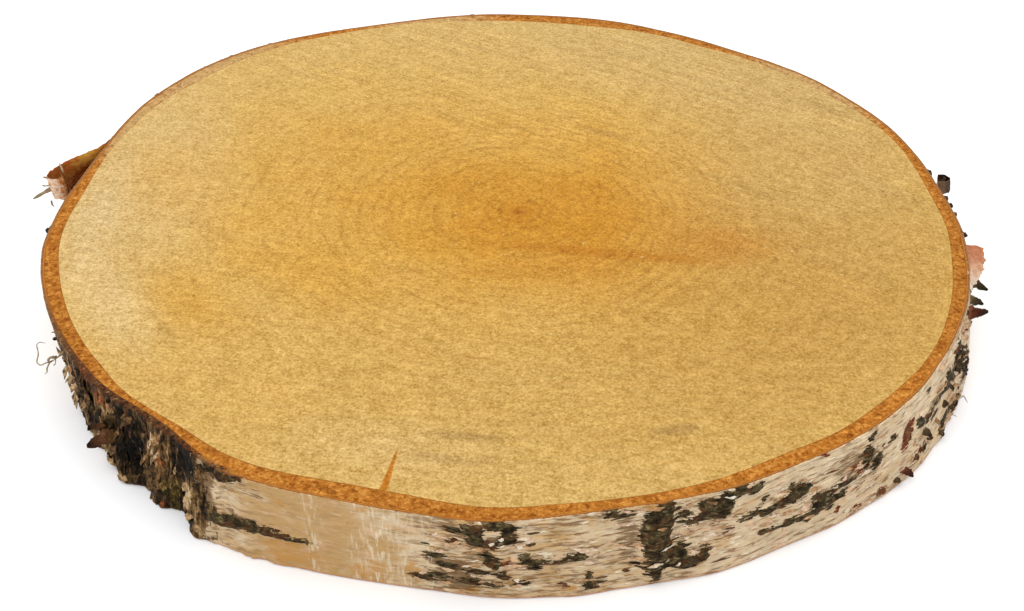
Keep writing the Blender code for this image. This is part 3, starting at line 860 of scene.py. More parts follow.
@dataclass(frozen=True)
class InnerBarkFinish:
    """Granular orange-brown inner bark."""

    name: str = "inner_bark"
    light: Colour = (220, 152, 68)
    plain: Colour = (188, 116, 40)
    deep: Colour = (142, 76, 14)
    pale: Colour = (204, 162, 104)
    inner_line: Colour = (166, 104, 36)
    outer_line: Colour = (152, 88, 34)
    pit: Colour = (112, 54, 16)
    roughness: float = 0.85

    def build(self) -> Material:
        """Make the material and return it."""
        graph = NodeGraph(self.name)
        tone, across = graph.value("tone"), graph.value("across")
        grain = graph.noise(0.9, 2.0, 0.75)
        lumps = graph.noise(2.8, 2.0)
        cells = graph.cells(0.9)
        speck = graph.add("ShaderNodeSeparateColor", cells.outputs["Color"]).outputs[0]
        mixed = graph.stirred(graph.centred(speck, 0.34), lumps, 1.1)
        mixed = graph.plus(mixed, graph.plus(graph.centred(grain, 0.9), 0.5))
        colour = graph.ramp(mixed, ((0.1, self.deep), (0.48, self.plain), (0.9, self.light)))
        washed = graph.brighten(linear(self.pale), graph.swing(mixed, 0.5, 0.5))
        pale = graph.step(graph.stirred(graph.value("pale"), lumps, 0.8), 0.15, 0.75)
        colour = graph.brighten(graph.mix(pale, colour, washed), tone)
        colour = graph.tinted(colour, grain, (0.42, 0.34, 0.1), (1.58, 1.66, 1.9))
        edge = graph.stirred(across, graph.noise(1.6, 2.0), 0.14)
        colour = graph.mix(graph.step(edge, 0.13, 0.0, 0.0, 0.75), colour, linear(self.inner_line))
        colour = graph.mix(graph.step(edge, 0.91, 1.0, 0.0, 0.75), colour, linear(self.outer_line))
        shifted = graph.vector("ADD", graph.place, (40.0, 9.0, 3.0))
        pits = graph.step(graph.noise(1.3, 1.0, at=shifted), 0.66, 0.78, 0.0, 0.6)
        colour = graph.mix(pits, colour, linear(self.pit))
        height = graph.math("MULTIPLY_ADD", cells.outputs["Distance"], 0.5, grain)
        return graph.finish(colour, self.roughness, height, 0.3)


@dataclass(frozen=True)
class OuterBarkFinish:
    """Papery birch bark: cream to tan paper, olive-black cork, red-brown scars and old bark."""

    name: str = "outer_bark"
    cream: Colour = (222, 198, 162)
    tan: Colour = (196, 158, 106)
    layer_tan: Colour = (134, 98, 60)
    highlight: Colour = (245, 230, 200)
    blush: Colour = (224, 178, 142)
    smudge: Colour = (116, 86, 52)
    ochre: Colour = (198, 146, 80)
    dash: Colour = (84, 66, 44)
    scratch: Colour = (240, 226, 196)
    cork_stops: Stops = (
        (0, (24, 18, 8)), (0.3, (54, 44, 24)), (0.5, (86, 73, 46)), (0.7, (130, 113, 78)),
        (1, (182, 160, 120)),
    )
    cork_red: Colour = (98, 54, 26)
    rust_stops: Stops = ((0.2, (64, 22, 8)), (0.5, (112, 50, 22)), (0.8, (178, 104, 60)))
    rough_stops: Stops = (
        (0, (12, 8, 3)), (0.2, (36, 26, 12)), (0.4, (84, 60, 33)), (0.58, (132, 100, 62)),
        (0.78, (184, 150, 104)), (1, (224, 198, 160)),
    )
    rough_red: Triple = (1.22, 0.7, 0.56)
    rough_olive: Triple = (0.86, 1.02, 0.66)
    cut: Colour = (186, 118, 44)
    cut_line: Colour = (150, 92, 44)
    old_cut: Colour = (88, 46, 22)
    far_edge: Colour = (150, 104, 60)
    foot_line: Colour = (206, 140, 100)
    roughness: float = 0.62

    def paper(self, graph: NodeGraph) -> Socket:
        """Colour the paper between the marks.

        Args:
            graph: The material's nodes.

        Returns:
            The colour.
        """
        cloud = graph.noise(8.0, 3.0, squeeze=(1.0, 1.8))
        streaks = graph.noise(1.6, 3.0, 0.65, (0.35, 2.0))
        calm = graph.value("calm")
        layers = graph.noise(1.15, 3.0, 0.6, (0.22, 1.25))
        shifted = graph.vector("ADD", graph.place, (31.0, 12.0, 50.0))
        bright = graph.noise(1.8, 3.0, 0.6, at=graph.scaled(shifted, 0.4, 0.4, 1.5))
        warmth = graph.stirred(graph.value("warm"), cloud, 2.6)
        lively = graph.math("MULTIPLY_ADD", calm, -0.8, 1.0)
        warmth = graph.math("MULTIPLY_ADD", graph.centred(streaks, 1.6), lively, warmth)
        colour = graph.mix(graph.step(warmth, -0.1, 0.9), linear(self.cream), linear(self.tan))
        blush = graph.noise(5.0, 2.0, squeeze=(1.0, 1.6))
        colour = graph.mix(graph.step(blush, 0.55, 0.72, 0.0, 0.55), colour, linear(self.blush))
        greyness = graph.plus(graph.times(graph.value("grey"), 0.16), layers)
        browned = graph.times(graph.step(greyness, 0.52, 0.68, 0.0, 0.85), lively)
        colour = graph.mix(browned, colour, linear(self.layer_tan))
        glint = graph.times(graph.step(bright, 0.58, 0.7, 0.0, 0.8), lively)
        colour = graph.mix(glint, colour, linear(self.highlight))
        spread = graph.times(graph.centred(streaks, 1.2), lively)
        return graph.brighten(colour, graph.plus(spread, 1.0))

    def dashes(self, graph: NodeGraph) -> Socket:
        """Return the strength of the thin dark dashes that run round the trunk."""
        wide = graph.step(graph.noise(1.7, 2.0, squeeze=(0.4, 2.8)), 0.62, 0.72, 0.0, 0.6)
        thin = graph.step(graph.noise(1.6, 2.0, squeeze=(0.9, 5.0)), 0.65, 0.73, 0.0, 0.6)
        both = graph.math("MAXIMUM", wide, thin)
        return graph.times(both, graph.math("MULTIPLY_ADD", graph.value("calm"), -0.85, 1.0))

    def marks(self, graph: NodeGraph, name: str, swell: float) -> Socket:
        """Turn the distance to marks of one kind into crisp, feathered patches.

        Args:
            graph: The material's nodes.
            name: The value that holds the distance inside the nearest mark.
            swell: How far the marks grow beyond their ellipses.

        Returns:
            The share of the mark's colour, from 0 to 1.
        """
        feather = graph.noise(1.5, 3.0, 0.65, (0.5, 2.0))
        crumb = graph.noise(0.8, 2.0, 0.6)
        distance = graph.stirred(graph.value(name), feather, 3.4)
        distance = graph.stirred(distance, crumb, 1.3)
        return graph.step(distance, -swell - 0.12, -swell + 0.12)

    def old_bark(self, graph: NodeGraph, fibres: Socket) -> Socket:
        """Colour the fissured stretch by its soft light and dark patches and its fibres.

        Args:
            graph: The material's nodes.
            fibres: Upright fibre noise.

        Returns:
            The colour.
        """
        crumb = graph.noise(1.0, 3.0, 0.7, (1.0, 0.6))
        level = graph.stirred(graph.value("shade"), fibres, 1.7)
        level = graph.stirred(level, crumb, 0.8)
        level = graph.stirred(level, graph.value("crest"), 0.6)
        colour = graph.ramp(level, self.rough_stops)
        drift = graph.noise(2.8, 2.0, squeeze=(1.0, 0.5))
        tint = graph.stirred(graph.value("tint"), drift, 2.4)
        colour = graph.tinted(colour, graph.step(tint, 0.2, 0.9), (1.0, 1.0, 1.0), self.rough_red)
        return graph.tinted(colour, graph.step(tint, -0.2, -0.8), (1.0, 1.0, 1.0), self.rough_olive)

    def cut_edge(self, graph: NodeGraph, colour: Socket, crumb: Socket) -> Socket:
        """Colour the sawn top and bottom edges of the bark.

        Args:
            graph: The material's nodes.
            colour: The weathered face's colour.
            crumb: Fine noise.

        Returns:
            The colour.
        """
        layer = graph.stirred(graph.value("layer"), crumb, 0.4)
        far = graph.times(graph.value("far"), 0.85)
        rim = graph.mix(far, colour, linear(self.far_edge))
        rim = graph.mix(graph.step(layer, 0.82, 0.66), rim, linear(self.cut_line))
        rim = graph.mix(graph.step(layer, 0.5, 0.38), rim, linear(self.cut))
        old = graph.stirred(graph.value("rough"), crumb, 1.6)
        rim = graph.mix(graph.step(old, 0.3, 1.0, 0.0, 0.9), rim, linear(self.old_cut))
        rim = graph.brighten(rim, graph.swing(crumb, 0.5, 1.5))
        top = graph.times(graph.step(graph.value("drop"), 1.0, 0.4), far)
        colour = graph.mix(top, colour, linear(self.far_edge))
        bare = graph.times(graph.step(old, 0.3, 0.8), graph.step(crumb, 0.44, 0.56, 0.0, 0.9))
        shown = graph.math("SUBTRACT", graph.step(graph.value("layer"), 1.0, 0.93), bare)
        return graph.mix(shown, colour, rim)

    def build(self) -> Material:
        """Make the material and return it."""
        graph = NodeGraph(self.name)
        crumb = graph.noise(0.75, 3.0, 0.7)
        patches = graph.noise(2.2, 3.0, 0.65, (0.6, 1.5))
        colour = self.paper(graph)
        ochre = graph.stirred(graph.value("ochre"), patches, 1.7)
        colour = graph.mix(graph.step(ochre, 0.25, 0.7, 0.0, 0.85), colour, linear(self.ochre))
        hairs = graph.noise(1.7, 3.0, 0.7, (0.32, 2.4))
        smudge = graph.math("SUBTRACT", graph.value("smudge"), graph.centred(hairs, 3.0))
        smeared = graph.brighten(linear(self.smudge), graph.swing(crumb, 0.5, 1.2))
        colour = graph.mix(graph.step(smudge, 0.35, 0.8, 0.0, 0.85), colour, smeared)
        colour = graph.mix(self.dashes(graph), colour, linear(self.dash))

        scratches = graph.noise(1.2, 3.0, 0.6, (1.5, 0.26))
        share = graph.times(graph.step(scratches, 0.5, 0.64), graph.value("scratch"))
        colour = graph.mix(share, colour, linear(self.scratch))

        rust = self.marks(graph, "rust", 0.0)
        colour = graph.mix(rust, colour, graph.ramp(crumb, self.rust_stops))
        cork = self.marks(graph, "cork", 0.3)
        crust = graph.noise(1.3, 3.0, 0.7, (0.7, 1.4))
        cork_colour = graph.ramp(graph.plus(graph.centred(crust, 1.9), 0.36), self.cork_stops)
        reddish = graph.step(graph.noise(3.2, 2.0), 0.54, 0.68, 0.0, 0.6)
        cork_colour = graph.mix(reddish, cork_colour, linear(self.cork_red))
        colour = graph.mix(cork, colour, cork_colour)

        fibres = graph.noise(1.8, 3.0, 0.65, (1.5, 0.32))
        drift = graph.math("MULTIPLY_ADD", patches, 1.4, graph.centred(fibres, 1.6))
        old = graph.plus(graph.value("rough"), graph.math("SUBTRACT", drift, 0.7))
        colour = graph.mix(graph.step(old, 0.36, 0.6), colour, self.old_bark(graph, fibres))

        foot = graph.stirred(graph.value("drop"), crumb, 1.2)
        papery = graph.math("MULTIPLY_ADD", graph.value("rough"), -0.9, 1.0)
        footed = graph.times(graph.step(foot, 24.2, 24.7, 0.0, 0.55), papery)
        colour = graph.mix(footed, colour, linear(self.foot_line))
        colour = self.cut_edge(graph, colour, crumb)
        crusty = graph.times(crust, graph.times(cork, 1.2))
        ribbed = graph.times(fibres, graph.math("MULTIPLY_ADD", graph.value("rough"), 1.0, 0.15))
        height = graph.math("MULTIPLY_ADD", crumb, 0.45, graph.plus(crusty, ribbed))
        return graph.finish(colour, self.roughness, height, 0.5)


@dataclass(frozen=True)
class ScrapFinish:
    """Bark of a peel or scrap, coloured along its length on each of its two sides, and on the front's lower
    part by a ramp of its own where one is given, which the ribbon uses for painted shade.
    """

    name: str
    front: Stops
    back: Stops
    # On the ribbon this ramp is mostly painted shade on the front's lower part
    low: Stops = ()
    grain: float = 0.9
    roughness: float = 0.6

    def build(self) -> Material:
        """Make the material and return it."""
        graph = NodeGraph(self.name)
        share, side = graph.value("share"), graph.value("side")
        streaks = graph.noise(1.8, 3.0, 0.65, (1.0, 1.8))
        crumb = graph.noise(0.7, 2.0, 0.7)
        along = graph.stirred(share, streaks, 0.4)
        front, back = graph.ramp(along, self.front), graph.ramp(along, self.back)
        # Painted shade: the front's lower part, by the down value, takes the low ramp
        if self.low:
            down = graph.stirred(graph.value("down"), streaks, 0.7)
            front = graph.mix(graph.step(down, 0.15, 0.7), front, graph.ramp(along, self.low))
        colour = graph.mix(graph.step(side, -0.2, 0.2), back, front)
        colour = graph.brighten(colour, graph.swing(streaks, 0.5, self.grain))
        colour = graph.brighten(colour, graph.swing(crumb, 0.5, self.grain))
        return graph.finish(colour, self.roughness, graph.plus(crumb, streaks), 0.25)


PAPER_TONES: Stops = (
    (0, (34, 26, 16)), (0.2, (84, 66, 42)), (0.34, (110, 66, 38)), (0.46, (164, 122, 78)),
    (0.62, (202, 160, 116)), (0.76, (222, 188, 156)), (0.88, (236, 220, 196)), (1, (248, 238, 222)),
)
OLD_TONES: Stops = (
    (0, (18, 12, 6)), (0.25, (54, 40, 22)), (0.45, (100, 74, 44)), (0.6, (136, 102, 64)),
    (0.8, (186, 154, 112)), (1, (226, 200, 168)),
)
FIBRE_TONES: Stops = ((0.0, (150, 120, 84)), (0.5, (178, 156, 124)), (1.0, (142, 124, 98)))


class PeelKind(Enum):
    """The kinds of bark that peels and scraps are made of."""

    RIBBON = ScrapFinish(
        "ribbon_bark_with_painted_light",
        # The ribbon's front ramp is its upper part as lit, with the dark red at the root partly painted shade
        # of the gap behind it
        front=(
            (0, (120, 58, 16)), (0.16, (176, 98, 26)), (0.3, (212, 138, 44)), (0.45, (222, 162, 72)),
            (0.55, (188, 102, 38)), (1, (130, 66, 28)),
        ),
        # Painted highlight: the pinkish white near 0.87 lies on the scroll's curve, falling off to orange
        # either side
        back=(
            (0, (150, 112, 66)), (0.4, (184, 124, 64)), (0.7, (206, 132, 66)), (0.8, (220, 148, 84)),
            (0.87, (250, 226, 202)), (0.93, (224, 154, 96)), (1, (164, 98, 46)),
        ),
        # Painted shade on the front's lower part: dark red along most of the strip, paler at the frayed lower
        # edge near the scroll
        low=(
            (0, (112, 42, 6)), (0.25, (126, 46, 2)), (0.5, (134, 56, 10)), (0.7, (176, 120, 60)),
            (1, (206, 176, 116)),
        ),
        grain=0.7,
    )
    # Dark red-brown sheet under the ribbon: the bark's inner colour deepened as painted shade of the gap
    # between ribbon and trunk
    SKIRT = ScrapFinish(
        "ribbon_gap_bark_and_painted_shade",
        front=((0, (104, 42, 12)), (0.5, (120, 50, 14)), (1, (150, 92, 50))),
        back=((0, (104, 42, 12)), (1, (150, 92, 50))),
        grain=1.3,
    )
    DARK_SCROLL = ScrapFinish(
        "dark_scroll_bark",
        front=((0, (92, 60, 40)), (0.4, (40, 26, 16)), (0.8, (60, 42, 28)), (1, (110, 84, 60))),
        back=((0, (196, 160, 134)), (0.3, (150, 118, 92)), (0.5, (44, 30, 20)), (1, (84, 62, 42))),
        grain=1.1,
    )
    PINK = ScrapFinish(
        "pink_bark",
        front=((0, (186, 112, 76)), (0.35, (196, 130, 94)), (0.6, (214, 168, 134)), (1, (232, 212, 188))),
        back=((0, (186, 120, 90)), (1, (206, 172, 140))),
        grain=0.7,
    )
    DARK = ScrapFinish(
        "dark_scrap_bark",
        front=((0, (184, 160, 124)), (0.25, (128, 108, 78)), (0.5, (82, 68, 46)), (1, (36, 28, 18))),
        back=((0, (70, 52, 36)), (1, (30, 22, 14))),
        grain=1.5,
    )
    KNOB = ScrapFinish(
        "knob_bark",
        front=(
            (0, (142, 112, 72)), (0.3, (120, 88, 54)), (0.6, (104, 66, 40)), (0.85, (66, 40, 22)),
            (1, (26, 17, 9)),
        ),
        back=((0, (92, 62, 46)), (1, (40, 26, 18))),
        grain=1.8,
    )
    RUST = ScrapFinish(
        "rust_scrap_bark",
        front=((0, (164, 112, 78)), (0.3, (112, 60, 36)), (0.6, (72, 36, 22)), (1, (46, 28, 18))),
        back=((0, (120, 60, 34)), (1, (70, 32, 18))),
        grain=1.5,
    )
    FIBRE = ScrapFinish("bark_fibre", front=FIBRE_TONES, back=FIBRE_TONES, grain=0.8)
    PAPER_FLAKE = ScrapFinish("paper_flakes", front=PAPER_TONES, back=PAPER_TONES)
    OLD_FLAKE = ScrapFinish("old_bark_flakes", front=OLD_TONES, back=OLD_TONES, grain=2.0)


Finish = Union[WoodFinish, InnerBarkFinish, OuterBarkFinish, ScrapFinish]


@cache
def material_of(finish: Finish) -> Material:
    """Return a finish's material, made at its first use."""
    return finish.build()


class Piece:
    """A piece of the dressed slice, with a slot name that nothing here reads, and the solid that it stands
    for.
    """

    name: str
    slot: str = "outer_bark"
    node: Optional[str] = "outer_bark"
    sharp_degrees: float = 50.0

    def batch(self) -> MeshBatch:
        """Return the piece's mesh and values, which each kind of piece shapes in its own way."""
        raise NotImplementedError

    def build(self, material: Material) -> Thing:
        """Make the piece and fix it to the log's body.

        Args:
            material: Its finish.

        Returns:
            The finished piece.
        """
        thing = self.batch().make(self.name, material, self.sharp_degrees)
        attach(thing, "root")
        if self.node:
            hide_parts(self.node)
        LOG.info("%s: %d faces", thing.name, len(thing.data.polygons))
        return thing


@dataclass
class WoodDisc(Piece):
    """The sawn wood, with real saw marks on both faces."""

    name = "sawn_wood_disc"
    slot = "sawn_wood"
    node = "wood_disc"
    trunk: Trunk
    cells: int = 196
    saw_turn: float = -34.0
    saw_depth: float = 0.07
    saw_length: float = 60.0
    saw_pitch: float = 4.5
    saw_offset: float = 2.0
    fine: Grain = Grain(3.1, offset=4.0)
    fine_share: float = 0.6
    swell: Grain = Grain(26.0, offset=7.0)
    wave_height: float = 0.07
    edge_share: float = 0.985
    edge_wear: float = 0.03
    edge_reach: float = 0.24

    def disc_grid(self) -> tuple[Array, Array]:
        """Spread a square grid over a unit disc.

        Returns:
            The share of the radius and the bearing of each grid point.
        """
        line = np.linspace(-1.0, 1.0, self.cells + 1)
        across, up = np.meshgrid(line, line)
        share = np.maximum(np.abs(across), np.abs(up))
        safe = np.maximum(share, 1e-9)
        sideways = np.abs(across) >= np.abs(up)
        inside = np.where(sideways, up, across) / safe * 45.0
        bearing = np.where(sideways, inside, 90.0 - inside)
        bearing = np.where(sideways & (across < 0.0), 180.0 - inside, bearing)
        bearing = np.where(~sideways & (up < 0.0), -90.0 + inside, bearing)
        return share, bearing

    def relief(self, x: Array, y: Array) -> Array:
        """Return the height of the sawn face above its plane."""
        turn = math.radians(self.saw_turn)
        along = x * math.cos(turn) + y * math.sin(turn)
        across = y * math.cos(turn) - x * math.sin(turn)
        marks = noise_at(along / self.saw_length, across / self.saw_pitch, self.saw_offset)
        swell, fine = self.swell.read(x, y, 0.0 * x), self.fine.read(x, y, 0.0 * x)
        return self.saw_depth * marks + self.wave_height * swell + self.saw_depth * self.fine_share * fine

    def batch(self) -> MeshBatch:
        """Return the disc's mesh."""
        share, bearing = self.disc_grid()
        sheets = []
        for drop, lift in ((0.0, 1.0), (self.trunk.thickness, -1.0)):
            deep = drop + 0.0 * bearing
            reach = self.trunk.wood_radius(bearing, deep) + self.edge_reach
            points = self.trunk.point(share * reach, bearing, deep)
            wear = self.edge_wear * smooth_step(share, self.edge_share, 1.0)
            points[..., 2] += lift * (self.relief(points[..., 0], points[..., 1]) - self.wave_height - wear)
            sheets.append(points.reshape(-1, 3))
        side = self.cells + 1
        quads = grid_faces(side, side)
        faces = quads.tolist() + (quads[:, ::-1] + side * side).tolist() + border_faces(side, side)
        batch = MeshBatch()
        batch.add(np.vstack(sheets), faces)
        return batch


@dataclass
class RingLayer(Piece):
    """A ring of bark: a closed loop of stations swept round the trunk."""

    trunk: Trunk
    columns: int

    def bearings(self) -> Array:
        """Return the bearings of the ring's columns."""
        return np.arange(self.columns) * 360.0 / self.columns - 180.0


@dataclass
class InnerBark(RingLayer):
    """The granular inner bark between the wood and the outer bark."""

    name = "granular_inner_bark"
    slot = node = "inner_bark"
    columns: int = 1700
    rows: int = 9
    grain: Grain = Grain(1.2)
    grain_height: float = 0.14
    lumps: Grain = Grain(3.4, offset=5.0)
    lump_share: float = 0.8
    inside_overlap: float = 0.2
    outside_overlap: float = 0.06
    border_depth: float = 0.02
    tones: Swellings = (
        (-96, 34, -0.07), (-132, 22, -0.05), (-15, 30, -0.1), (-150, 25, -0.06), (172, 22, -0.02),
        (72, 24, -0.05),
    )
    pale: Swellings = (
        (38, 24, 0.8), (103, 18, 0.8), (140, 28, 0.8), (162, 14, 0.7), (-60, 18, 0.15),
    )

    def batch(self) -> MeshBatch:
        """Return the ring's mesh."""
        bearing, across = np.meshgrid(self.bearings(), np.linspace(0.0, 1.0, self.rows + 1))
        values = {
            "tone": 1.0 + sum_swellings(self.tones, bearing),
            "pale": sum_swellings(self.pale, bearing),
            "across": across,
        }
        rings = []
        for drop, lift in ((0.0, 1.0), (self.trunk.thickness, -1.0)):
            deep = drop + 0.0 * bearing
            inside = self.trunk.wood_radius(bearing, deep) + self.inside_overlap
            outside = self.trunk.outer_bark_inside(bearing, deep) + self.outside_overlap
            points = self.trunk.point(inside + (outside - inside) * across, bearing, deep)
            x, y = points[..., 0], points[..., 1]
            rough = self.grain.read(x, y, deep) + self.lump_share * self.lumps.read(x, y, deep)
            border = smooth_step(np.abs(across - 0.5), 0.36, 0.5)
            points[..., 2] += lift * (self.grain_height * (rough - 1.0) - self.border_depth * border)
            rings.append(points)
        points = np.concatenate([rings[0], rings[1][::-1]])
        faces = grid_faces(len(points), self.columns, loop_rows=True, loop_columns=True)
        both = {name: np.concatenate([value, value[::-1]]) for name, value in values.items()}
        batch = MeshBatch(*values)
        batch.add(points, faces, **both)
        return batch


@dataclass(frozen=True)
class BarkMap:
    """Where the outer bark's marks and tones lie.

    A mark is its bearing, its drop, half its length round the trunk and half its height, and where
    it isn't level how far it rises to the right, in degrees. A patch ends with its strength.
    """

    trunk: Trunk
    cork: tuple[Mark, ...] = (
        (-73.6, 2.2, 2.6, 2.2), (-74.1, 5.5, 3.6, 3), (-74.4, 9.5, 3.3, 3.2), (-74, 13.5, 3.2, 3),
        (-74.3, 17, 2.8, 2.8), (-74.1, 20.5, 1.3, 2.8), (-69, 5.2, 3.6, 1.5, 20), (-67.3, 4.6, 2.6, 2),
        (-70.6, 6.8, 2.2, 0.9), (-67.4, 6.8, 1.6, 1), (-69.4, 3.2, 0.9, 1.2), (-66.7, 2.6, 1.2, 1.3),
        (-65.8, 1, 2.2, 0.6), (-63.6, 1.9, 1.9, 1.2), (-71.6, 4.4, 1.2, 0.6), (-71.9, 16, 1.6, 1.6),
        (-71.2, 18.8, 4, 1.5), (-69, 17.7, 1.2, 1.5), (-71.5, 14.3, 0.8, 0.9), (-63.6, 9.4, 2.6, 0.9, 15),
        (-62, 10.4, 1.3, 1), (-60.9, 8.8, 2.6, 0.9, 10), (-59, 8.4, 2.4, 1, 10), (-57.4, 7.9, 1.8, 1.1),
        (-59, 6.7, 0.8, 0.9), (-58.2, 9.3, 1.2, 0.5), (-61.4, 16.6, 2.2, 0.8),
        (-59.4, 15.8, 2.6, 1.1, 10), (-56.8, 16.2, 3.2, 1.6), (-56.5, 18.2, 1.2, 1.1),
        (-55, 13.6, 1.8, 1.2), (-53.8, 15.2, 2, 0.9), (-52.2, 15.3, 1.4, 0.6), (-53, 12.5, 1.6, 0.7, 15),
        (-51.8, 11.6, 1.8, 0.5), (-55.6, 12, 0.7, 0.9), (-53.7, 17.8, 1, 0.6), (-48.4, 7.4, 0.7, 2.4),
        (-47, 12, 1, 1.6), (-46.4, 10.8, 0.6, 1.1), (-48, 2.4, 1, 0.5), (-38.8, 10.3, 1.6, 1.3),
        (-36.8, 11.6, 2.2, 0.7), (-44.3, 7.3, 0.8, 0.5), (-36.8, 3, 0.7, 0.5), (-31, 7.4, 2, 1),
        (-31.6, 9, 3.2, 1.3, 10), (-29.4, 9, 1.8, 1.5), (-33.4, 10.6, 2.2, 0.8), (-27.9, 10, 1.5, 0.8),
        (-27.1, 3.8, 1.6, 1.2), (-28.3, 5.1, 1.5, 1.2), (-26.7, 6.6, 1.3, 1), (-25.2, 11.4, 1.5, 1.2),
        (-24.6, 13.2, 1.7, 1.4), (-24, 17, 2.5, 1.5), (-23.2, 18.6, 2, 1), (-21.2, 14.4, 1.6, 1.2),
        (-37.5, 20, 0.6, 1.2), (-32, 22, 1.5, 1.3), (-32.2, 24, 1.6, 0.8), (-29.3, 20.6, 1, 0.9),
        (-27.2, 22.2, 1.3, 0.8), (-82.2, 12.4, 1.4, 0.9), (-80.8, 22, 1, 0.6), (-81.1, 18.8, 0.6, 0.7),
        (-78.8, 1.4, 1.4, 0.6), (-77.2, 2, 1, 0.5), (-92.5, 2.2, 1.9, 1.6), (-90.2, 1, 2.3, 0.9),
        (-92.4, 5.6, 1.6, 1.7), (-89.3, 5.6, 1.7, 1.3), (-91.2, 7.2, 2.3, 1.1), (-89.2, 2.8, 1.1, 1),
        (-94.4, 7.2, 1.3, 0.5), (-94.6, 3, 1.1, 0.4), (-91.2, 10.8, 0.9, 1.4), (-90.6, 13.2, 1.3, 1.3),
        (-86.9, 13.1, 2.2, 0.9), (-84, 12.7, 2.2, 0.7, 8), (-87.5, 11.6, 1, 0.6), (-86.5, 14.2, 1.1, 0.6),
        (-96.5, 12.6, 1.4, 0.6), (-95.9, 19.2, 1.8, 0.6), (-93, 19.8, 2, 0.7), (-90.4, 20.2, 1.6, 0.9),
        (-87.8, 19.8, 1.3, 0.8), (-89.6, 17.2, 1, 0.9), (-98, 20.4, 1.2, 0.5), (-92, 16.2, 1.6, 0.5),
        (-94.8, 15.1, 2, 0.5), (-122.4, 12.6, 2.4, 2.4, -20), (-120.2, 14.4, 2.8, 2.3, -10),
        (-118, 14.8, 3, 2), (-116, 14.8, 3, 1.5), (-114.2, 14.8, 3, 1), (-112.6, 14.9, 2.6, 0.7),
        (-111, 15, 2.2, 0.4), (-118.2, 0.8, 2.8, 0.8), (-120.5, 1.4, 2.2, 1.2), (-17, 9, 2.4, 0.8, 8),
        (-14, 14, 2, 1.2), (-11, 7.5, 2, 1.5), (-8, 17, 3.2, 1.4), (-5, 10.5, 2, 1.2), (-1, 20, 2.5, 1),
        (-2, 6.6, 3.4, 1.2), (-18.6, 20.5, 1.8, 1.2), (-176, 9, 3.4, 1.5), (-168, 15, 5, 1.3),
        (-162, 6, 3, 1.6), (-158, 17, 4, 2),
    )
    rust: tuple[Mark, ...] = (
        (-52.4, 20, 0.45, 1), (-50.3, 9.2, 1.5, 0.8), (-49.4, 10.8, 1.3, 0.7), (-48.9, 9.6, 1.2, 0.7),
        (-41, 8.2, 2.1, 1.6), (-41.2, 10.8, 2.3, 2.2), (-41.7, 13.4, 2.3, 1.3), (-49.7, 23.2, 1.9, 1),
        (-45.8, 22.5, 1.9, 0.7), (-89.3, 13.1, 1.8, 0.8), (-85.3, 13.3, 2, 0.6), (-82.2, 12.2, 1.2, 0.5),
        (-55, 0.4, 1.2, 0.5), (-38.5, 19, 0.5, 1), (12, 12, 2, 1), (64, 18, 2.4, 0.8), (118, 9, 1.8, 1.2),
        (177, 2.2, 4, 2), (168, 6, 7, 5), (173, 4, 5, 3),
    )
    smudge: tuple[Mark, ...] = (
        (-121, 8.5, 3, 7, 1), (-116, 3.5, 5, 2.4, 0.5), (-117, 12.5, 5, 1.6, 0.6),
        (-90.4, 4.6, 1.8, 1.8, 0.7), (-94, 19, 8, 6, 1), (-96.5, 13.5, 4, 2, 0.9), (-92, 8, 4, 7, 0.7),
        (-94.5, 3, 4, 3, 0.7), (-88, 13, 8, 2, 0.6), (-77.3, 7, 3.5, 7, 0.8), (-77, 15, 3, 5, 0.6),
        (-69, 3, 6, 3, 0.5), (-68.5, 9, 5, 3, 0.3), (-50.5, 9, 6, 7, 0.8), (-47.5, 10, 4, 6, 0.7),
        (-53, 6, 3, 6, 0.4), (-57, 12.5, 7, 4, 0.45), (-35.5, 10.5, 5, 2.4, 0.8), (-30, 9, 5, 3, 0.6),
        (-24, 13, 4, 8, 0.6), (-27.5, 4, 3, 3, 0.5), (-38.5, 18.5, 2, 3, 0.5), (-31, 22.5, 7, 2.5, 0.8),
        (-44, 23.5, 10, 1.5, 0.6), (-81, 21.5, 6, 2.5, 0.6), (-80.5, 1.5, 5, 1, 0.5),
        (-99, 20, 5, 2, 0.5), (-85, 18.5, 4, 1.5, 0.4), (-122, 3, 5, 4, 0.8), (-120, 14, 5, 5, 0.7),
        (-165, 12, 12, 6, 0.7),
    )
    ochre: tuple[Mark, ...] = (
        (-112, 20.5, 11, 5, 0.6), (-103, 20.5, 8, 4.5, 0.6), (-98.8, 18.5, 3, 4, 0.6),
        (-112.5, 5, 2.6, 3, 0.4), (-103.5, 1, 4, 1.5, 0.5), (-96.5, 8, 2.5, 6, 0.4),
        (-83, 22.5, 3, 2.2, 0.5), (-88.5, 19.5, 2, 2, 0.4), (-75, 0.6, 4, 1.2, 0.6),
        (-61, 13, 3, 1.5, 0.5), (-93, 23, 3, 1.5, 0.6), (40, 16, 10, 4, 0.5), (130, 8, 12, 4, 0.5),
        (-172, 20, 9, 4, 0.6),
    )
    shade: tuple[Mark, ...] = (
        (-133.5, 13, 5.5, 13, -0.32), (-142.6, 13, 3.5, 7, -0.2), (-140.5, 21.5, 4.5, 2.8, 0.4),
        (-136.2, 23.2, 3.4, 2, 0.4), (-137.5, 5, 3, 3, 0.2), (-132, 19.5, 2, 2.4, 0.2),
        (-147.2, 12, 4, 14, 0.25), (-139.4, 20, 2.6, 7, 0.3), (-129.4, 6, 2.2, 5, 0.42),
        (-124, 4.5, 5, 6, -0.36), (-126.2, 10, 3, 5, -0.35), (-123.6, 14, 3.8, 5, 0.45),
        (-122.3, 22, 3.2, 5, 0.25), (-127.4, 21, 2.5, 6, 0.05), (-125.4, 22, 2, 6, -0.3),
        (-130, 16, 2.5, 10, -0.1), (-155, 12, 14, 16, 0.35),
    )
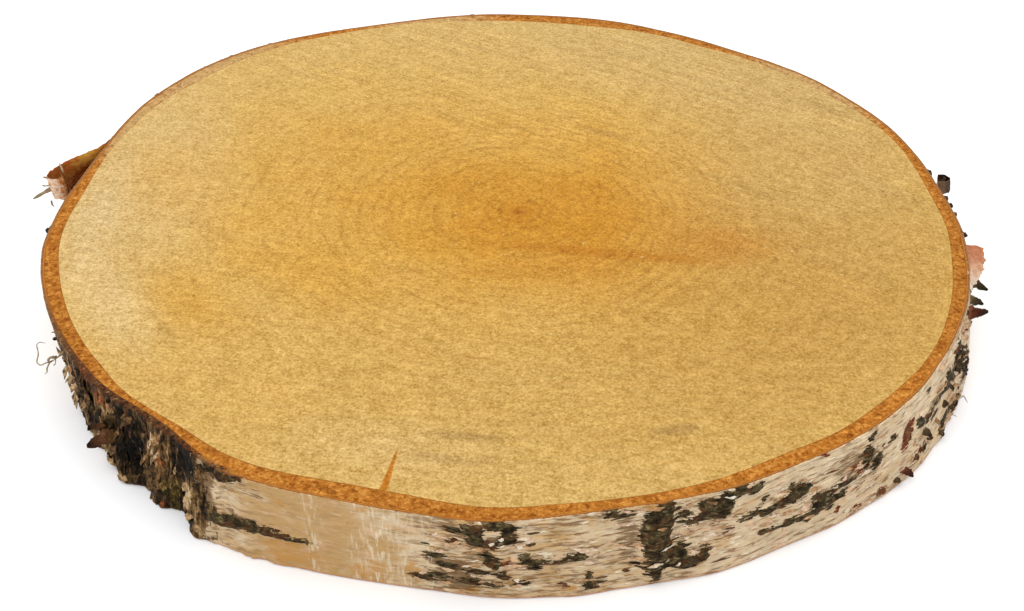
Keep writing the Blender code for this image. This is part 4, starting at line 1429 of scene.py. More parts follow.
    tint: tuple[Mark, ...] = (
        (-138, 3, 5, 2.4, 0.7), (-134, 5.5, 2.6, 2.6, 0.8), (-128.4, 23, 1.6, 2.2, 0.9),
        (-147, 9, 2.2, 3, 0.9), (-128.8, 12, 1.2, 12, 0.7), (-124.5, 6, 3, 4, 0.5),
        (-133.5, 3, 3, 2.5, 0.7), (-142, 1.5, 9, 2.6, 0.9), (-137, 17, 1.5, 3, 0.5),
        (-128.4, 24, 1.6, 2.5, 0.9), (-140, 2, 5, 2, 0.6), (-127.8, 21, 3, 7, -1), (-136, 12, 3, 6, -0.3),
    )
    old_patches: tuple[Mark, ...] = ((-119.0, 1.5, 4.0, 1.8, 0.9), (-122.0, 14.5, 3.0, 6.0, 0.6))
    old_reach: tuple[float, float, float, float] = (-166.0, -150.0, -125.0, -117.6)
    plain_shade: float = 0.36
    least_inside: float = -3.0
    patch_fade: Pair = (1.35, 0.25)
    stretch: float = 1.6
    drift_along: Grain = Grain(3.2, 3.2)
    drift_down: Grain = Grain(2.3, 2.3, 9.0)
    drift_reach: Pair = (0.9, 0.45)
    mark_growth: Pair = (1.04, 0.1)
    far_patches: int = 3
    far_seed: int = 23
    far_smudge: float = 0.7
    far_middle: float = 92.0
    far_reach: Pair = (128.0, 112.0)
    warm: Swellings = (
        (-109, 15, 0.95), (-90, 12, 0.3), (-80, 8, 0.25), (60, 22, 0.35), (150, 20, 0.4), (-165, 14, 0.4),
    )
    grey: Swellings = (
        (-95, 9, 0.6), (-84, 9, 0.4), (-112, 12, 0.3), (-70, 10, 0.3), (100, 24, 0.35), (30, 16, 0.25),
        (-170, 12, 0.3),
    )
    scratch: Swellings = (
        (-109, 1.6, 0.5), (-104.6, 1.2, 0.5), (-102.2, 2.4, 0.75), (-99.4, 1.6, 0.6), (-97, 1.2, 0.5),
        (76, 5, 0.5),
    )
    swelling_names: tuple[str, ...] = ("warm", "grey", "scratch", "calm")
    calm: Swellings = ((-113.0, 8.0, 0.95), (-105.0, 8.0, 0.95), (-99.5, 5.0, 0.3))

    def far_cork(self) -> list[Mark]:
        """Return cork patches on the far side's plates, drawn with a fixed seed."""
        draw = random.Random(self.far_seed)
        patches = []
        for bearing, drop, half_length, half_height, _ in self.trunk.hidden_plates():
            for _ in range(self.far_patches):
                shift = draw.uniform(-0.5, 0.5) * half_length
                size = (half_length * draw.uniform(0.25, 0.6), half_height * draw.uniform(0.3, 0.7))
                patch_bearing = bearing + math.degrees(shift / self.trunk.rim)
                patch_drop = drop + draw.uniform(-0.4, 0.4) * half_height
                patches.append((patch_bearing, patch_drop, *size, draw.uniform(-6.0, 6.0)))
        return patches

    def sideways(self, along: Array, bearing: float) -> Array:
        """Return the signed distance round the trunk from a bearing."""
        half_round = math.pi * self.trunk.rim
        return (along - math.radians(bearing) * self.trunk.rim + half_round) % (2.0 * half_round) - half_round

    def inside(self, marks: Sequence[Mark], along: Array, drop: Array) -> Array:
        """Measure how far inside the nearest mark each place is.

        Args:
            marks: The marks.
            along: Distance round the trunk from bearing 0.
            drop: The drop of each place.

        Returns:
            Millimetres inside the nearest mark, negative outside, down to a least value.
        """
        found = np.full(along.shape, self.least_inside)
        factor, extra = self.mark_growth
        for bearing, mark_drop, half_length, half_height, *rise in marks:
            aside, down, turn = self.sideways(along, bearing), drop - mark_drop, math.radians(sum(rise))
            length, height = half_length * factor + extra, half_height * factor + extra
            first = (aside * math.cos(turn) - down * math.sin(turn)) / length
            second = (aside * math.sin(turn) + down * math.cos(turn)) / height
            found = np.maximum(found, (1.0 - np.hypot(first, second)) * min(length, height))
        return found

    def soft(self, patches: Sequence[Mark], along: Array, drop: Array) -> Array:
        """Add up soft patches.

        Args:
            patches: The patches.
            along: Distance round the trunk from bearing 0.
            drop: The drop of each place.

        Returns:
            The summed strength at each place.
        """
        total = np.zeros_like(along)
        for bearing, patch_drop, half_length, half_height, strength in patches:
            away = np.hypot(self.sideways(along, bearing) / half_length, (drop - patch_drop) / half_height)
            total = total + strength * smooth_step(away, *self.patch_fade)
        return total

    def read(self, bearing: Array, drop: Array) -> dict[str, Array]:
        """Read every tone and mark.

        Args:
            bearing: Bearings to read.
            drop: Drops to read.

        Returns:
            The values that the outer bark's finish needs, by name.
        """
        place = self.trunk.place(bearing, drop, self.stretch)
        straight = np.radians(bearing) * self.trunk.rim
        along = straight + self.drift_reach[0] * self.drift_along.read(*place)
        down = drop + self.drift_reach[1] * self.drift_down.read(*place)
        plates = [(*plate[:4], self.far_smudge) for plate in self.trunk.hidden_plates()]
        far_start, full, fall, near_end = self.old_reach
        turned = turn_between(bearing, 0.0)
        old = smooth_step(turned, far_start, full) * smooth_step(turned, near_end, fall)
        round_only = {name: sum_swellings(getattr(self, name), bearing) for name in self.swelling_names}
        return {
            "cork": self.inside((*self.cork, *self.far_cork()), along, down),
            "rust": self.inside(self.rust, along, down),
            "rough": np.clip(old + self.soft(self.old_patches, along, down), 0.0, 1.0),
            **round_only,
            "smudge": self.soft((*self.smudge, *plates), along, down),
            "ochre": self.soft(self.ochre, along, down),
            "shade": self.plain_shade + self.soft(self.shade, along, down),
            "tint": self.soft(self.tint, along, down),
            "far": smooth_step(np.abs(turn_between(bearing, self.far_middle)), *self.far_reach),
            "drop": drop,
        }


@dataclass
class OuterBark(RingLayer):
    """The papery outer bark, with the relief of its cork and its fissured stretch."""

    name = "papery_outer_bark"
    sharp_degrees = 60.0
    bark_map: BarkMap = field(kw_only=True)
    columns: int = 1500
    wall_rows: int = 47
    edge_rows: int = 3
    edge: float = 0.12
    crumb: Grain = Grain(1.3, 0.9)
    crust: Grain = Grain(2.0, 1.2, 3.0)
    layers: Grain = Grain(6.5, 0.9, 20.0)
    ridges: Grain = Grain(5.2, 16.0)
    small_ridges: Grain = Grain(2.1, 6.5, 4.0)
    twigs: Grain = Grain(1.0, 3.4, 5.0)
    ribs: Grain = Grain(0.9, 6.0, 11.0)
    edge_grain: Grain = Grain(1.2, offset=2.0)
    edge_height: float = 0.1
    ridge_lean: float = 0.5
    crumb_height: float = 0.1
    cork_crust: float = 0.42
    terrace_height: float = 2.4
    terrace_steps: float = 4.0
    twig_height: float = 0.46
    rib_height: float = 0.3
    least_thickness: float = 0.35
    hidden_overlap: float = 0.02

    def relief(self, bearing: Array, drop: Array, cork: Array) -> tuple[Array, Array]:
        """Find the fine relief that lies on the trunk's own.

        Args:
            bearing: Bearings to read.
            drop: Drops to read.
            cork: Millimetres inside the nearest cork mark.

        Returns:
            The fine height, and how high a spot stands among the ridges, from 0 to 1.
        """
        x, y, z = place = self.trunk.place(bearing, drop, 1.0)
        crumb, crust, layers = (grain.read(*place) for grain in (self.crumb, self.crust, self.layers))
        twigs, ribs = self.twigs.read(*place), self.ribs.read(*place)
        corky = smooth_step(cork, -0.4, 0.4)
        ridges = self.ridges.read(x + self.ridge_lean * drop, y, z) + 0.55 * self.small_ridges.read(*place)
        level = np.clip(0.5 + 0.62 * ridges, 0.0, 1.0)
        stage = level * self.terrace_steps
        terrace = (np.floor(stage) + smooth_step(stage % 1.0, 0.55, 1.0)) / self.terrace_steps
        old = self.trunk.rough_weight(bearing) * smooth_step(drop, 0.3, 3.2)
        height = self.crumb_height * (crumb * (0.4 + corky) + 0.8 * layers)
        height = height + self.cork_crust * corky * (0.55 + crust)
        fissures = self.terrace_height * (terrace - 0.5) + self.twig_height * twigs + self.rib_height * ribs
        height = height + old * fissures
        return height, np.clip(0.25 + 0.5 * terrace + 0.3 * twigs + 0.2 * ribs, 0.0, 1.0)

    def surface(self, bearing: Array, drop: Array) -> Array:
        """Return the radius of the finished face at scattered places."""
        fine, _ = self.relief(bearing, drop, self.bark_map.read(bearing, drop)["cork"])
        least = self.trunk.outer_bark_inside(bearing, drop) + self.least_thickness
        return np.maximum(self.trunk.bark_radius(bearing, drop) + fine, least)

    def batch(self) -> MeshBatch:
        """Return the ring's mesh."""
        thick = self.trunk.thickness
        wall_drops = np.linspace(self.edge, thick - self.edge, self.wall_rows + 1)
        bearing, drop = np.meshgrid(self.bearings(), wall_drops)
        values = self.bark_map.read(bearing, drop)
        fine, crest = self.relief(bearing, drop, values["cork"])
        least = self.trunk.outer_bark_inside(bearing, drop) + self.least_thickness
        radius = np.maximum(self.trunk.bark_radius(bearing, drop) + fine, least)
        values.update(crest=crest, layer=np.ones_like(bearing))
        blocks = [(self.trunk.point(radius, bearing, drop), values)]
        shares = np.linspace(1.0, 0.0, self.edge_rows + 2)[1:]
        for row, face_drop, lift in ((-1, thick, -1.0), (0, 0.0, 1.0)):
            line, share = np.meshgrid(self.bearings(), shares if row else shares[::-1])
            deep = face_drop + 0.0 * line
            hidden = self.trunk.outer_bark_inside(line, deep) + self.hidden_overlap
            reach = radius[row] - self.edge / 2.0
            points = self.trunk.point(hidden + (reach - hidden) * share, line, deep)
            grain = self.edge_grain.read(points[..., 0], points[..., 1], 0.0 * line)
            points[..., 2] += lift * self.edge_height * (grain - 1.0)
            edge_values = {name: np.broadcast_to(value[row], line.shape) for name, value in values.items()}
            edge_values["layer"] = share
            blocks.append((points, edge_values))
        wall, bottom, top = blocks
        points = np.concatenate([top[0], wall[0], bottom[0]])
        joined = {name: np.concatenate([top[1][name], wall[1][name], bottom[1][name]]) for name in values}
        batch = MeshBatch(*values)
        faces = grid_faces(len(points), self.columns, loop_rows=True, loop_columns=True)
        batch.add(points, faces, **joined)
        return batch


@dataclass
class Peel(Piece):
    """A strip of bark that leaves the trunk and ends in a scroll."""

    trunk: Trunk
    name: str
    kind: PeelKind
    route: tuple[Pair, ...]
    centre: Pair
    radius: float
    turn: float
    drops: Pair
    thickness: float = 0.6
    shrink: float = 0.38
    scroll_steps: int = 60
    rows: int = 18
    ragged: float = 0.7
    frayed: float = 0.5
    root_length: float = 6.0
    root_share: float = 0.12
    wave_height: float = 0.35
    crinkle_height: float = 0.12

    def line(self) -> Array:
        """Return the strip's line as seen from above, with its scroll."""
        start = math.atan2(self.route[-1][1] - self.centre[1], self.route[-1][0] - self.centre[0])
        points = smooth_route(np.array(self.route, float), 8)
        share = np.arange(1, self.scroll_steps + 1) / self.scroll_steps
        angle = start + math.radians(self.turn) * share
        reach = self.radius * (1.0 - self.shrink * share)
        scroll = np.array(self.centre) + reach[:, None] * np.stack([np.cos(angle), np.sin(angle)], axis=1)
        return np.vstack([points, scroll])

    def batch(self) -> MeshBatch:
        """Return the peel's mesh."""
        line = self.line()
        steps = np.linalg.norm(np.diff(line, axis=0), axis=1)
        travelled = np.concatenate([[0.0], np.cumsum(steps)])
        share = travelled / travelled[-1]
        down = np.linspace(0.0, 1.0, self.rows)
        none = 0.0 * travelled
        tears = self.frayed * noise_at(travelled / 0.6, none + 5.0, none)
        low = self.drops[1] + self.ragged * noise_at(travelled / 1.8, none + 3.0, none) + tears
        high = self.drops[0] + 0.3 + 0.35 * noise_at(travelled / 1.6, none + 8.0, none) + 0.3 * tears
        rooted = self.root_share + (1.0 - self.root_share) * smooth_step(travelled, 0.0, self.root_length)
        drop = high[:, None] + ((low - high) * rooted)[:, None] * down[None, :]
        bearing = np.degrees(np.arctan2(line[:, 1], line[:, 0]))[:, None] + 0.0 * drop
        shift = self.trunk.rim_radius(bearing, drop) - self.trunk.rim_radius(bearing, 0.0 * drop)
        middle = self.trunk.point(np.hypot(line[:, 0], line[:, 1])[:, None] + shift, bearing, drop)
        wave = self.wave_height * noise_at(travelled[:, None] / 5.0, drop / 4.0, 1.0)
        wave = wave + self.crinkle_height * noise_at(travelled[:, None] / 1.3, drop / 1.3, 6.0)
        heading = np.gradient(middle, axis=0)
        normal = np.stack([-heading[..., 1], heading[..., 0], 0.0 * drop], axis=-1)
        normal = normal / np.maximum(np.linalg.norm(normal, axis=-1, keepdims=True), 1e-9)
        free = smooth_step(travelled, 2.0, 9.0)[:, None, None]
        middle = middle + normal * wave[..., None] * free
        ends = smooth_step(down, 0.0, 0.12) * smooth_step(down, 1.0, 0.86)
        thick = self.thickness * (0.45 + 0.55 * ends)[None, :] * (1.0 - 0.3 * share)[:, None]
        points, faces, side = thin_sheet(middle, thick)
        batch = MeshBatch("share", "side", "down")
        along = np.tile(np.repeat(share, self.rows), 2)
        # The down value tells a finish where a strip's lower part is, which the ribbon darkens as painted
        # shade
        below = np.tile(down, 2 * len(line))
        batch.add(points, faces, share=along, side=side, down=below)
        return batch


@dataclass
class PinkFlap(Piece):
    """The thin pink sheet that hangs outwards from the rim at the right."""

    trunk: Trunk
    name: str = "pink_flap"
    kind: PeelKind = PeelKind.PINK
    stations: tuple[Triple, ...] = (
        (-7.6, 5, 0.9), (-10.2, 4.6, 2.4), (-12.8, 3, 3.2), (-15.4, 0.9, 2.6),
    )
    root_drop: float = 0.5
    root_overlap: float = 0.9
    wobble_reach: float = 0.5
    thickness: float = 0.6
    rows: int = 16
    steps: int = 16

    def batch(self) -> MeshBatch:
        """Return the flap's mesh."""
        route = smooth_route(np.array(self.stations, float), self.steps)
        bearing, reach, edge_drop = (column[:, None] for column in route.T)
        across = np.linspace(0.0, 1.0, self.rows)[None, :]
        none = 0.0 * bearing
        wobble = noise_at(bearing * 1.3, none, none + 4.0) + noise_at(bearing * 4.0, none, none + 2.0)
        root = self.trunk.bark_radius(bearing, none + self.root_drop) - self.root_overlap
        radius = root + (reach + self.root_overlap + self.wobble_reach * wobble) * across
        drop = self.root_drop + (edge_drop - self.root_drop) * across**1.6
        drop = drop + 0.45 * noise_at(bearing * 0.9 + 0.0 * across, across * 2.4 + none, 0.0 * radius)
        middle = self.trunk.point(radius, bearing + 0.0 * across, drop)
        thick = self.thickness * (1.0 - 0.45 * smooth_step(across, 0.6, 1.0)) + none
        points, faces, side = thin_sheet(middle, thick)
        batch = MeshBatch("share", "side")
        station = np.linspace(0.0, 1.0, len(route))[:, None]
        share = np.tile((0.15 * across + 0.85 * station).ravel(), 2)
        batch.add(points, faces, share=share, side=side)
        return batch


@dataclass(frozen=True)
class Thorn(Piece):
    """A tapered, lumpy scrap that grows out of the bark."""

    trunk: Trunk
    name: str
    kind: PeelKind
    bearing: float
    drop: float
    reach: float
    half_width: float
    half_height: float
    sag: float
    bend: float = 0.0
    node: Optional[str] = "outer_bark"
    root_clearance: float = 0.3
    sections: int = 18
    corners: int = 16

    def batch(self) -> MeshBatch:
        """Return the scrap's mesh."""
        trunk, here, deep = self.trunk, np.array([self.bearing]), np.array([self.drop])
        surface = float(trunk.bark_radius(here, deep)[0])
        hidden = float(trunk.outer_bark_inside(here, deep)[0]) + self.root_clearance
        out = np.linspace(0.0, 1.0, self.sections)[:, None]
        angle = np.linspace(0.0, 2.0 * np.pi, self.corners, endpoint=False)[None, :]
        size = np.interp(out, (0.0, 0.45, 0.8, 1.0), (1.05, 0.78, 0.52, 0.2))
        fall = np.interp(out, (0.0, 0.45, 1.0), (0.0, 0.2, 1.0))
        seed = self.bearing * 1.7
        across, up = np.cos(angle) + 0.0 * out, np.sin(angle) + 0.0 * out
        lump = 1.0 + 0.6 * noise_at(out * 3.0 + 0.0 * angle, across * 1.2 + seed, up * 1.2)
        lump = lump + 0.5 * noise_at(out * 8.0 + 0.0 * angle, across * 2.6 + seed, up * 2.6)
        turn = np.degrees((self.half_width * size * lump * across + self.bend * out**2) / trunk.rim)
        drop = self.drop + fall * self.sag + self.half_height * size * lump * up
        jag = 0.45 * noise_at(out * 5.0 + 0.0 * angle, across * 3.0, up * 3.0 + seed)
        radius = hidden + (surface + self.reach - hidden) * (out + 0.0 * angle) + jag * out
        points = trunk.point(radius, self.bearing + turn, drop)
        batch = MeshBatch("share", "side")
        faces = tube_faces(self.sections, self.corners)
        batch.add(points, faces, share=(out + 0.0 * angle).ravel(), side=1.0)
        return batch


@dataclass
class Whiskers(Piece):
    """Fine curled fibres of bark, each a thin tube along a route of bearing, reach and drop."""

    node = None
    trunk: Trunk
    name: str
    kind: PeelKind
    routes: tuple[tuple[float, tuple[Triple, ...]], ...]
    steps: int = 7
    sides: int = 6

    def batch(self) -> MeshBatch:
        """Return the fibres' meshes."""
        batch = MeshBatch("share", "side")
        for thickness, route in self.routes:
            bearing, reach, drop = smooth_route(np.array(route, float), self.steps).T
            radius = self.trunk.rim_radius(bearing, drop) + self.trunk.bark_proud + reach
            points = self.trunk.point(radius, bearing, drop)
            share = np.linspace(0.0, 1.0, len(points))
            uneven = 1.0 + 0.5 * noise_at(points[:, 0] / 0.9, points[:, 1] / 0.9, points[:, 2] / 0.9)
            thick = thickness * (1.0 - 0.6 * share**3) * uneven
            vertices, faces = tube(points, thick, self.sides)
            batch.add(vertices, faces, share=np.repeat(share, self.sides), side=1.0)
        return batch


class Hinge(Enum):
    """The edge by which a flake holds on: how its free side lies along and down the bark."""

    TOP = (0.0, 1.0)
    FOOT = (0.0, -1.0)
    RIGHT = (-1.0, 0.0)
    LEFT = (1.0, 0.0)


@dataclass(frozen=True)
class Flake:
    """One small curled scale of bark."""

    bearing: float
    drop: float
    half_length: float
    half_height: float
    lift: float
    tone: float
    hinge: Hinge = Hinge.TOP
    rise: float = 0.0


@dataclass(frozen=True)
class FlakePatch:
    """A stretch of bark where flakes are strewn: bearings, drops, number and sizes."""

    bearing: float
    spread: float
    drops: Pair
    count: int
    lengths: Pair = (0.8, 2.9)
    heights: Pair = (0.22, 0.62)
    lifts: Pair = (0.1, 0.45)
    rises: Pair = (0.0, 8.0)

    def strew(self, draw: random.Random) -> list[Flake]:
        """Draw the patch's flakes.

        Args:
            draw: The seeded draw.

        Returns:
            The flakes.
        """
        flakes = []
        for _ in range(self.count):
            flakes.append(Flake(
                bearing=self.bearing + draw.triangular(-self.spread, self.spread),
                drop=draw.uniform(*self.drops),
                half_length=draw.uniform(*self.lengths),
                half_height=draw.uniform(*self.heights),
                lift=draw.uniform(*self.lifts),
                tone=draw.random(),
                hinge=draw.choice(tuple(Hinge)),
                rise=draw.gauss(*self.rises),
            ))
        return flakes


@dataclass
class Flakes(Piece):
    """Small curled scales that stand off the bark."""

    node = None
    bark: OuterBark
    name: str
    kind: PeelKind
    flakes: Sequence[Flake]
    columns: int = 9
    rows: int = 5
    thickness: float = 0.22
    sunk: float = 0.18
    margin: float = 0.35
    flatness: float = 0.4
    crinkle: float = 0.12

    def sheet(self, flake: Flake, number: int) -> Array:
        """Shape one flake.

        Args:
            flake: The flake.
            number: Its number, which varies its outline.

        Returns:
            Its middle surface.
        """
        trunk = self.bark.trunk
        across, down = np.meshgrid(np.linspace(-1.0, 1.0, self.columns), np.linspace(-1.0, 1.0, self.rows))
        seed = 0.0 * across + number * 3.7
        edge = 1.0 + 0.55 * noise_at(across * 1.9, down * 0.8, seed)
        taper_across = (1.0 - 0.6 * np.abs(down) ** 2.5) * edge
        taper_down = (1.0 - 0.75 * np.abs(across) ** 2.2) * edge
        aside = across * flake.half_length * taper_across
        below = down * flake.half_height * taper_down
        turn = math.radians(flake.rise)
        moved = aside * math.cos(turn) - below * math.sin(turn)
        drop = flake.drop + aside * math.sin(turn) + below * math.cos(turn)
        drop = np.clip(drop, self.margin, trunk.thickness - self.margin)
        bearing = flake.bearing + np.degrees(moved / trunk.rim)
        along, falling = flake.hinge.value
        free = 0.5 + 0.5 * (along * across + falling * down)
        lift = flake.lift * free**1.4 + self.crinkle * noise_at(across * 1.4, down * 1.4, seed + 9.0)
        base = self.bark.surface(bearing, drop)
        seat = (1.0 - self.flatness) * base + self.flatness * base.mean()
        return trunk.point(seat - self.sunk * (1.0 - free) + lift, bearing, drop)

    def batch(self) -> MeshBatch:
        """Return the flakes' meshes."""
        batch = MeshBatch("share", "side")
        for number, flake in enumerate(self.flakes):
            points, faces, side = thin_sheet(self.sheet(flake, number), self.thickness)
            batch.add(points, faces, share=flake.tone, side=side)
        return batch


@dataclass
class FlakeCover:
    """All the flakes of the slice: strewn by a seeded draw, with the singular ones listed one by one."""

    bark: OuterBark
    seed: int = 41
    paper_patches: tuple[FlakePatch, ...] = (
        FlakePatch(-90.5, 4.5, (1.0, 21.0), 44),
        FlakePatch(-72.0, 7.0, (0.8, 22.0), 76),
        FlakePatch(-59.0, 6.5, (5.0, 19.0), 40),
        FlakePatch(-49.0, 5.0, (3.0, 24.0), 44),
        FlakePatch(-26.0, 7.5, (1.0, 24.0), 80, lifts=(0.2, 0.9)),
        FlakePatch(-38.0, 5.0, (8.0, 24.0), 24),
        FlakePatch(-96.0, 4.0, (4.0, 23.0), 18),
        FlakePatch(-82.0, 5.0, (10.0, 24.0), 16),
        FlakePatch(-8.0, 13.0, (2.0, 23.0), 50),
        FlakePatch(40.0, 40.0, (1.5, 23.5), 80),
        FlakePatch(120.0, 42.0, (1.5, 23.5), 84),
        FlakePatch(-170.0, 14.0, (1.5, 23.5), 44),
    )
    old_patch: FlakePatch = FlakePatch(
        -138, 16, (1.5, 23), 120, lengths=(0.4, 1.1), heights=(0.9, 4.4), lifts=(0.2, 1), rises=(24, 18),
    )
    old_swing: float = 0.28
    cork_edge: float = -0.4
    paper_singles: tuple[Flake, ...] = (
        Flake(-90.8, 6.5, 0.7, 0.5, 0.4, 0.9), Flake(-89.8, 5, 0.6, 0.4, 0.4, 0.88),
        Flake(-88, 8, 0.6, 0.4, 0.4, 0.9), Flake(-41.2, 9.5, 1.7, 1.3, 0.6, 0.33),
        Flake(-41, 12, 1.5, 1.1, 0.5, 0.35), Flake(-13.6, 2.2, 2.6, 1.4, 0.9, 0.95),
        Flake(-15.8, 1.6, 2, 1, 0.7, 0.9), Flake(-21.8, 5, 1.2, 1.6, 1.4, 0.72, Hinge.LEFT),
        Flake(-22.6, 8, 0.9, 1.4, 1.1, 0.7, Hinge.LEFT), Flake(-24.5, 9.5, 0.8, 1, 1.2, 0.13),
        Flake(-27, 12, 0.7, 1.4, 1.3, 0.1, Hinge.LEFT), Flake(-29.5, 13, 0.7, 1.5, 1.2, 0.12),
        Flake(-31.5, 15.5, 0.9, 1.1, 1.2, 0.18, Hinge.LEFT), Flake(-34, 17, 0.8, 1, 1.1, 0.5),
        Flake(-36.5, 18.5, 1, 0.8, 1.2, 0.16, Hinge.LEFT), Flake(-39.5, 20, 1.1, 0.7, 1, 0.24),
        Flake(-43, 22.5, 1.2, 0.6, 1, 0.18), Flake(-45.5, 22.8, 1.2, 0.5, 0.9, 0.3),
        Flake(-33.2, 22, 1.1, 0.8, 1, 0.15), Flake(-29, 20.5, 1, 0.9, 1.1, 0.14),
        Flake(128.3, 1.5, 1.9, 1, 1.9, 0.3, Hinge.LEFT),
        Flake(130.6, 1.8, 1.8, 1.2, 1.8, 0.2, Hinge.RIGHT),
        Flake(134.8, 1.4, 1.8, 0.9, 1.8, 0.28, Hinge.LEFT),
        Flake(137, 1.5, 2.2, 1, 1.7, 0.16, Hinge.RIGHT), Flake(139.6, 1.6, 2.2, 1, 1.5, 0.3, Hinge.LEFT),
        Flake(96, 1.2, 3, 0.8, 0.9, 0.25, Hinge.FOOT), Flake(150, 1.2, 2.4, 0.8, 0.9, 0.2, Hinge.FOOT),
        Flake(4, 1.4, 1.6, 0.9, 1.2, 0.3, Hinge.FOOT), Flake(10.4, 1.2, 1.8, 0.8, 1, 0.2, Hinge.FOOT),
        Flake(0.2, 1.6, 1.6, 0.9, 1, 0.34, Hinge.FOOT),
    )
    old_singles: tuple[Flake, ...] = (
        Flake(-124.6, 12.4, 1.3, 0.8, 1.3, 0.76), Flake(-123.8, 14.4, 0.9, 0.7, 1.2, 0.8),
        Flake(-123.6, 19.6, 1.2, 0.7, 1.2, 0.72), Flake(-122.4, 21.4, 1.3, 0.7, 1, 0.7),
        Flake(-126, 9, 0.6, 1.3, 1.2, 0.74), Flake(-129.8, 5, 0.6, 2.2, 1.2, 0.84, Hinge.TOP, -14),
        Flake(-128.9, 8.6, 0.5, 2, 1.2, 0.8, Hinge.TOP, 20),
        Flake(-131, 12, 0.4, 2.6, 1, 0.62, Hinge.TOP, 26),
        Flake(-140.8, 19.8, 1.9, 0.9, 1.1, 0.82, Hinge.TOP, 20),
        Flake(-137.6, 22, 2, 0.8, 1.1, 0.78, Hinge.TOP, 16),
        Flake(-135, 23.3, 1.6, 0.6, 1, 0.74, Hinge.TOP, 12),
        Flake(-149.9, 6, 0.9, 2.4, 1.3, 0.75, Hinge.FOOT), Flake(-147.6, 10, 1, 3, 1.5, 0.8),
        Flake(-145.2, 9, 1, 1.6, 2, 0.78), Flake(-146.2, 15, 1.1, 3.2, 1.6, 0.82),
        Flake(-143.5, 13, 1, 2.4, 1.5, 0.7), Flake(-150.8, 13, 1.2, 2.6, 1.6, 0.8),
        Flake(-148.4, 18, 1.3, 2.6, 1.6, 0.76), Flake(-141.5, 11, 0.8, 2, 1.2, 0.3),
    )

    def old_flakes(self, draw: random.Random) -> list[Flake]:
        """Return the old bark's upright flakes, toned like the bark that they lie on."""
        found = []
        for flake in self.old_patch.strew(draw):
            shade = self.read(flake, "shade") + self.old_swing * (2.0 * flake.tone - 0.9)
            found.append(replace(flake, tone=min(0.78, max(0.04, shade))))
        return found

    def read(self, flake: Flake, name: str) -> float:
        """Return one of the bark's values where a flake lies."""
        return float(self.bark.bark_map.read(np.array([flake.bearing]), np.array([flake.drop]))[name][0])

    def paper_tone(self, flake: Flake) -> float:
        """Return a flake's tone: dark on cork and pale on paper, with a few odd ones.

        Args:
            flake: The flake, whose own tone is a number drawn from 0 to 1.

        Returns:
            Its place on the ramp of paper tones.
        """
        drawn = flake.tone
        if self.read(flake, "cork") > self.cork_edge:
            return 0.02 + 0.3 * drawn if drawn < 0.82 else 0.42 + 0.5 * (drawn - 0.82) / 0.18
        if drawn < 0.08:
            return 0.3
        return 0.1 + 0.5 * drawn if drawn < 0.2 else 0.5 + 0.37 * drawn

    def pieces(self) -> tuple[Flakes, Flakes]:
        """Return both pieces of flakes."""
        draw = random.Random(self.seed)
        strewn = [flake for patch in self.paper_patches for flake in patch.strew(draw)]
        paper = [replace(flake, tone=self.paper_tone(flake)) for flake in strewn]
        old = self.old_flakes(draw)
        return (
            Flakes(self.bark, "paper_flakes", PeelKind.PAPER_FLAKE, [*paper, *self.paper_singles]),
            Flakes(self.bark, "old_bark_flakes", PeelKind.OLD_FLAKE, [*old, *self.old_singles]),
        )


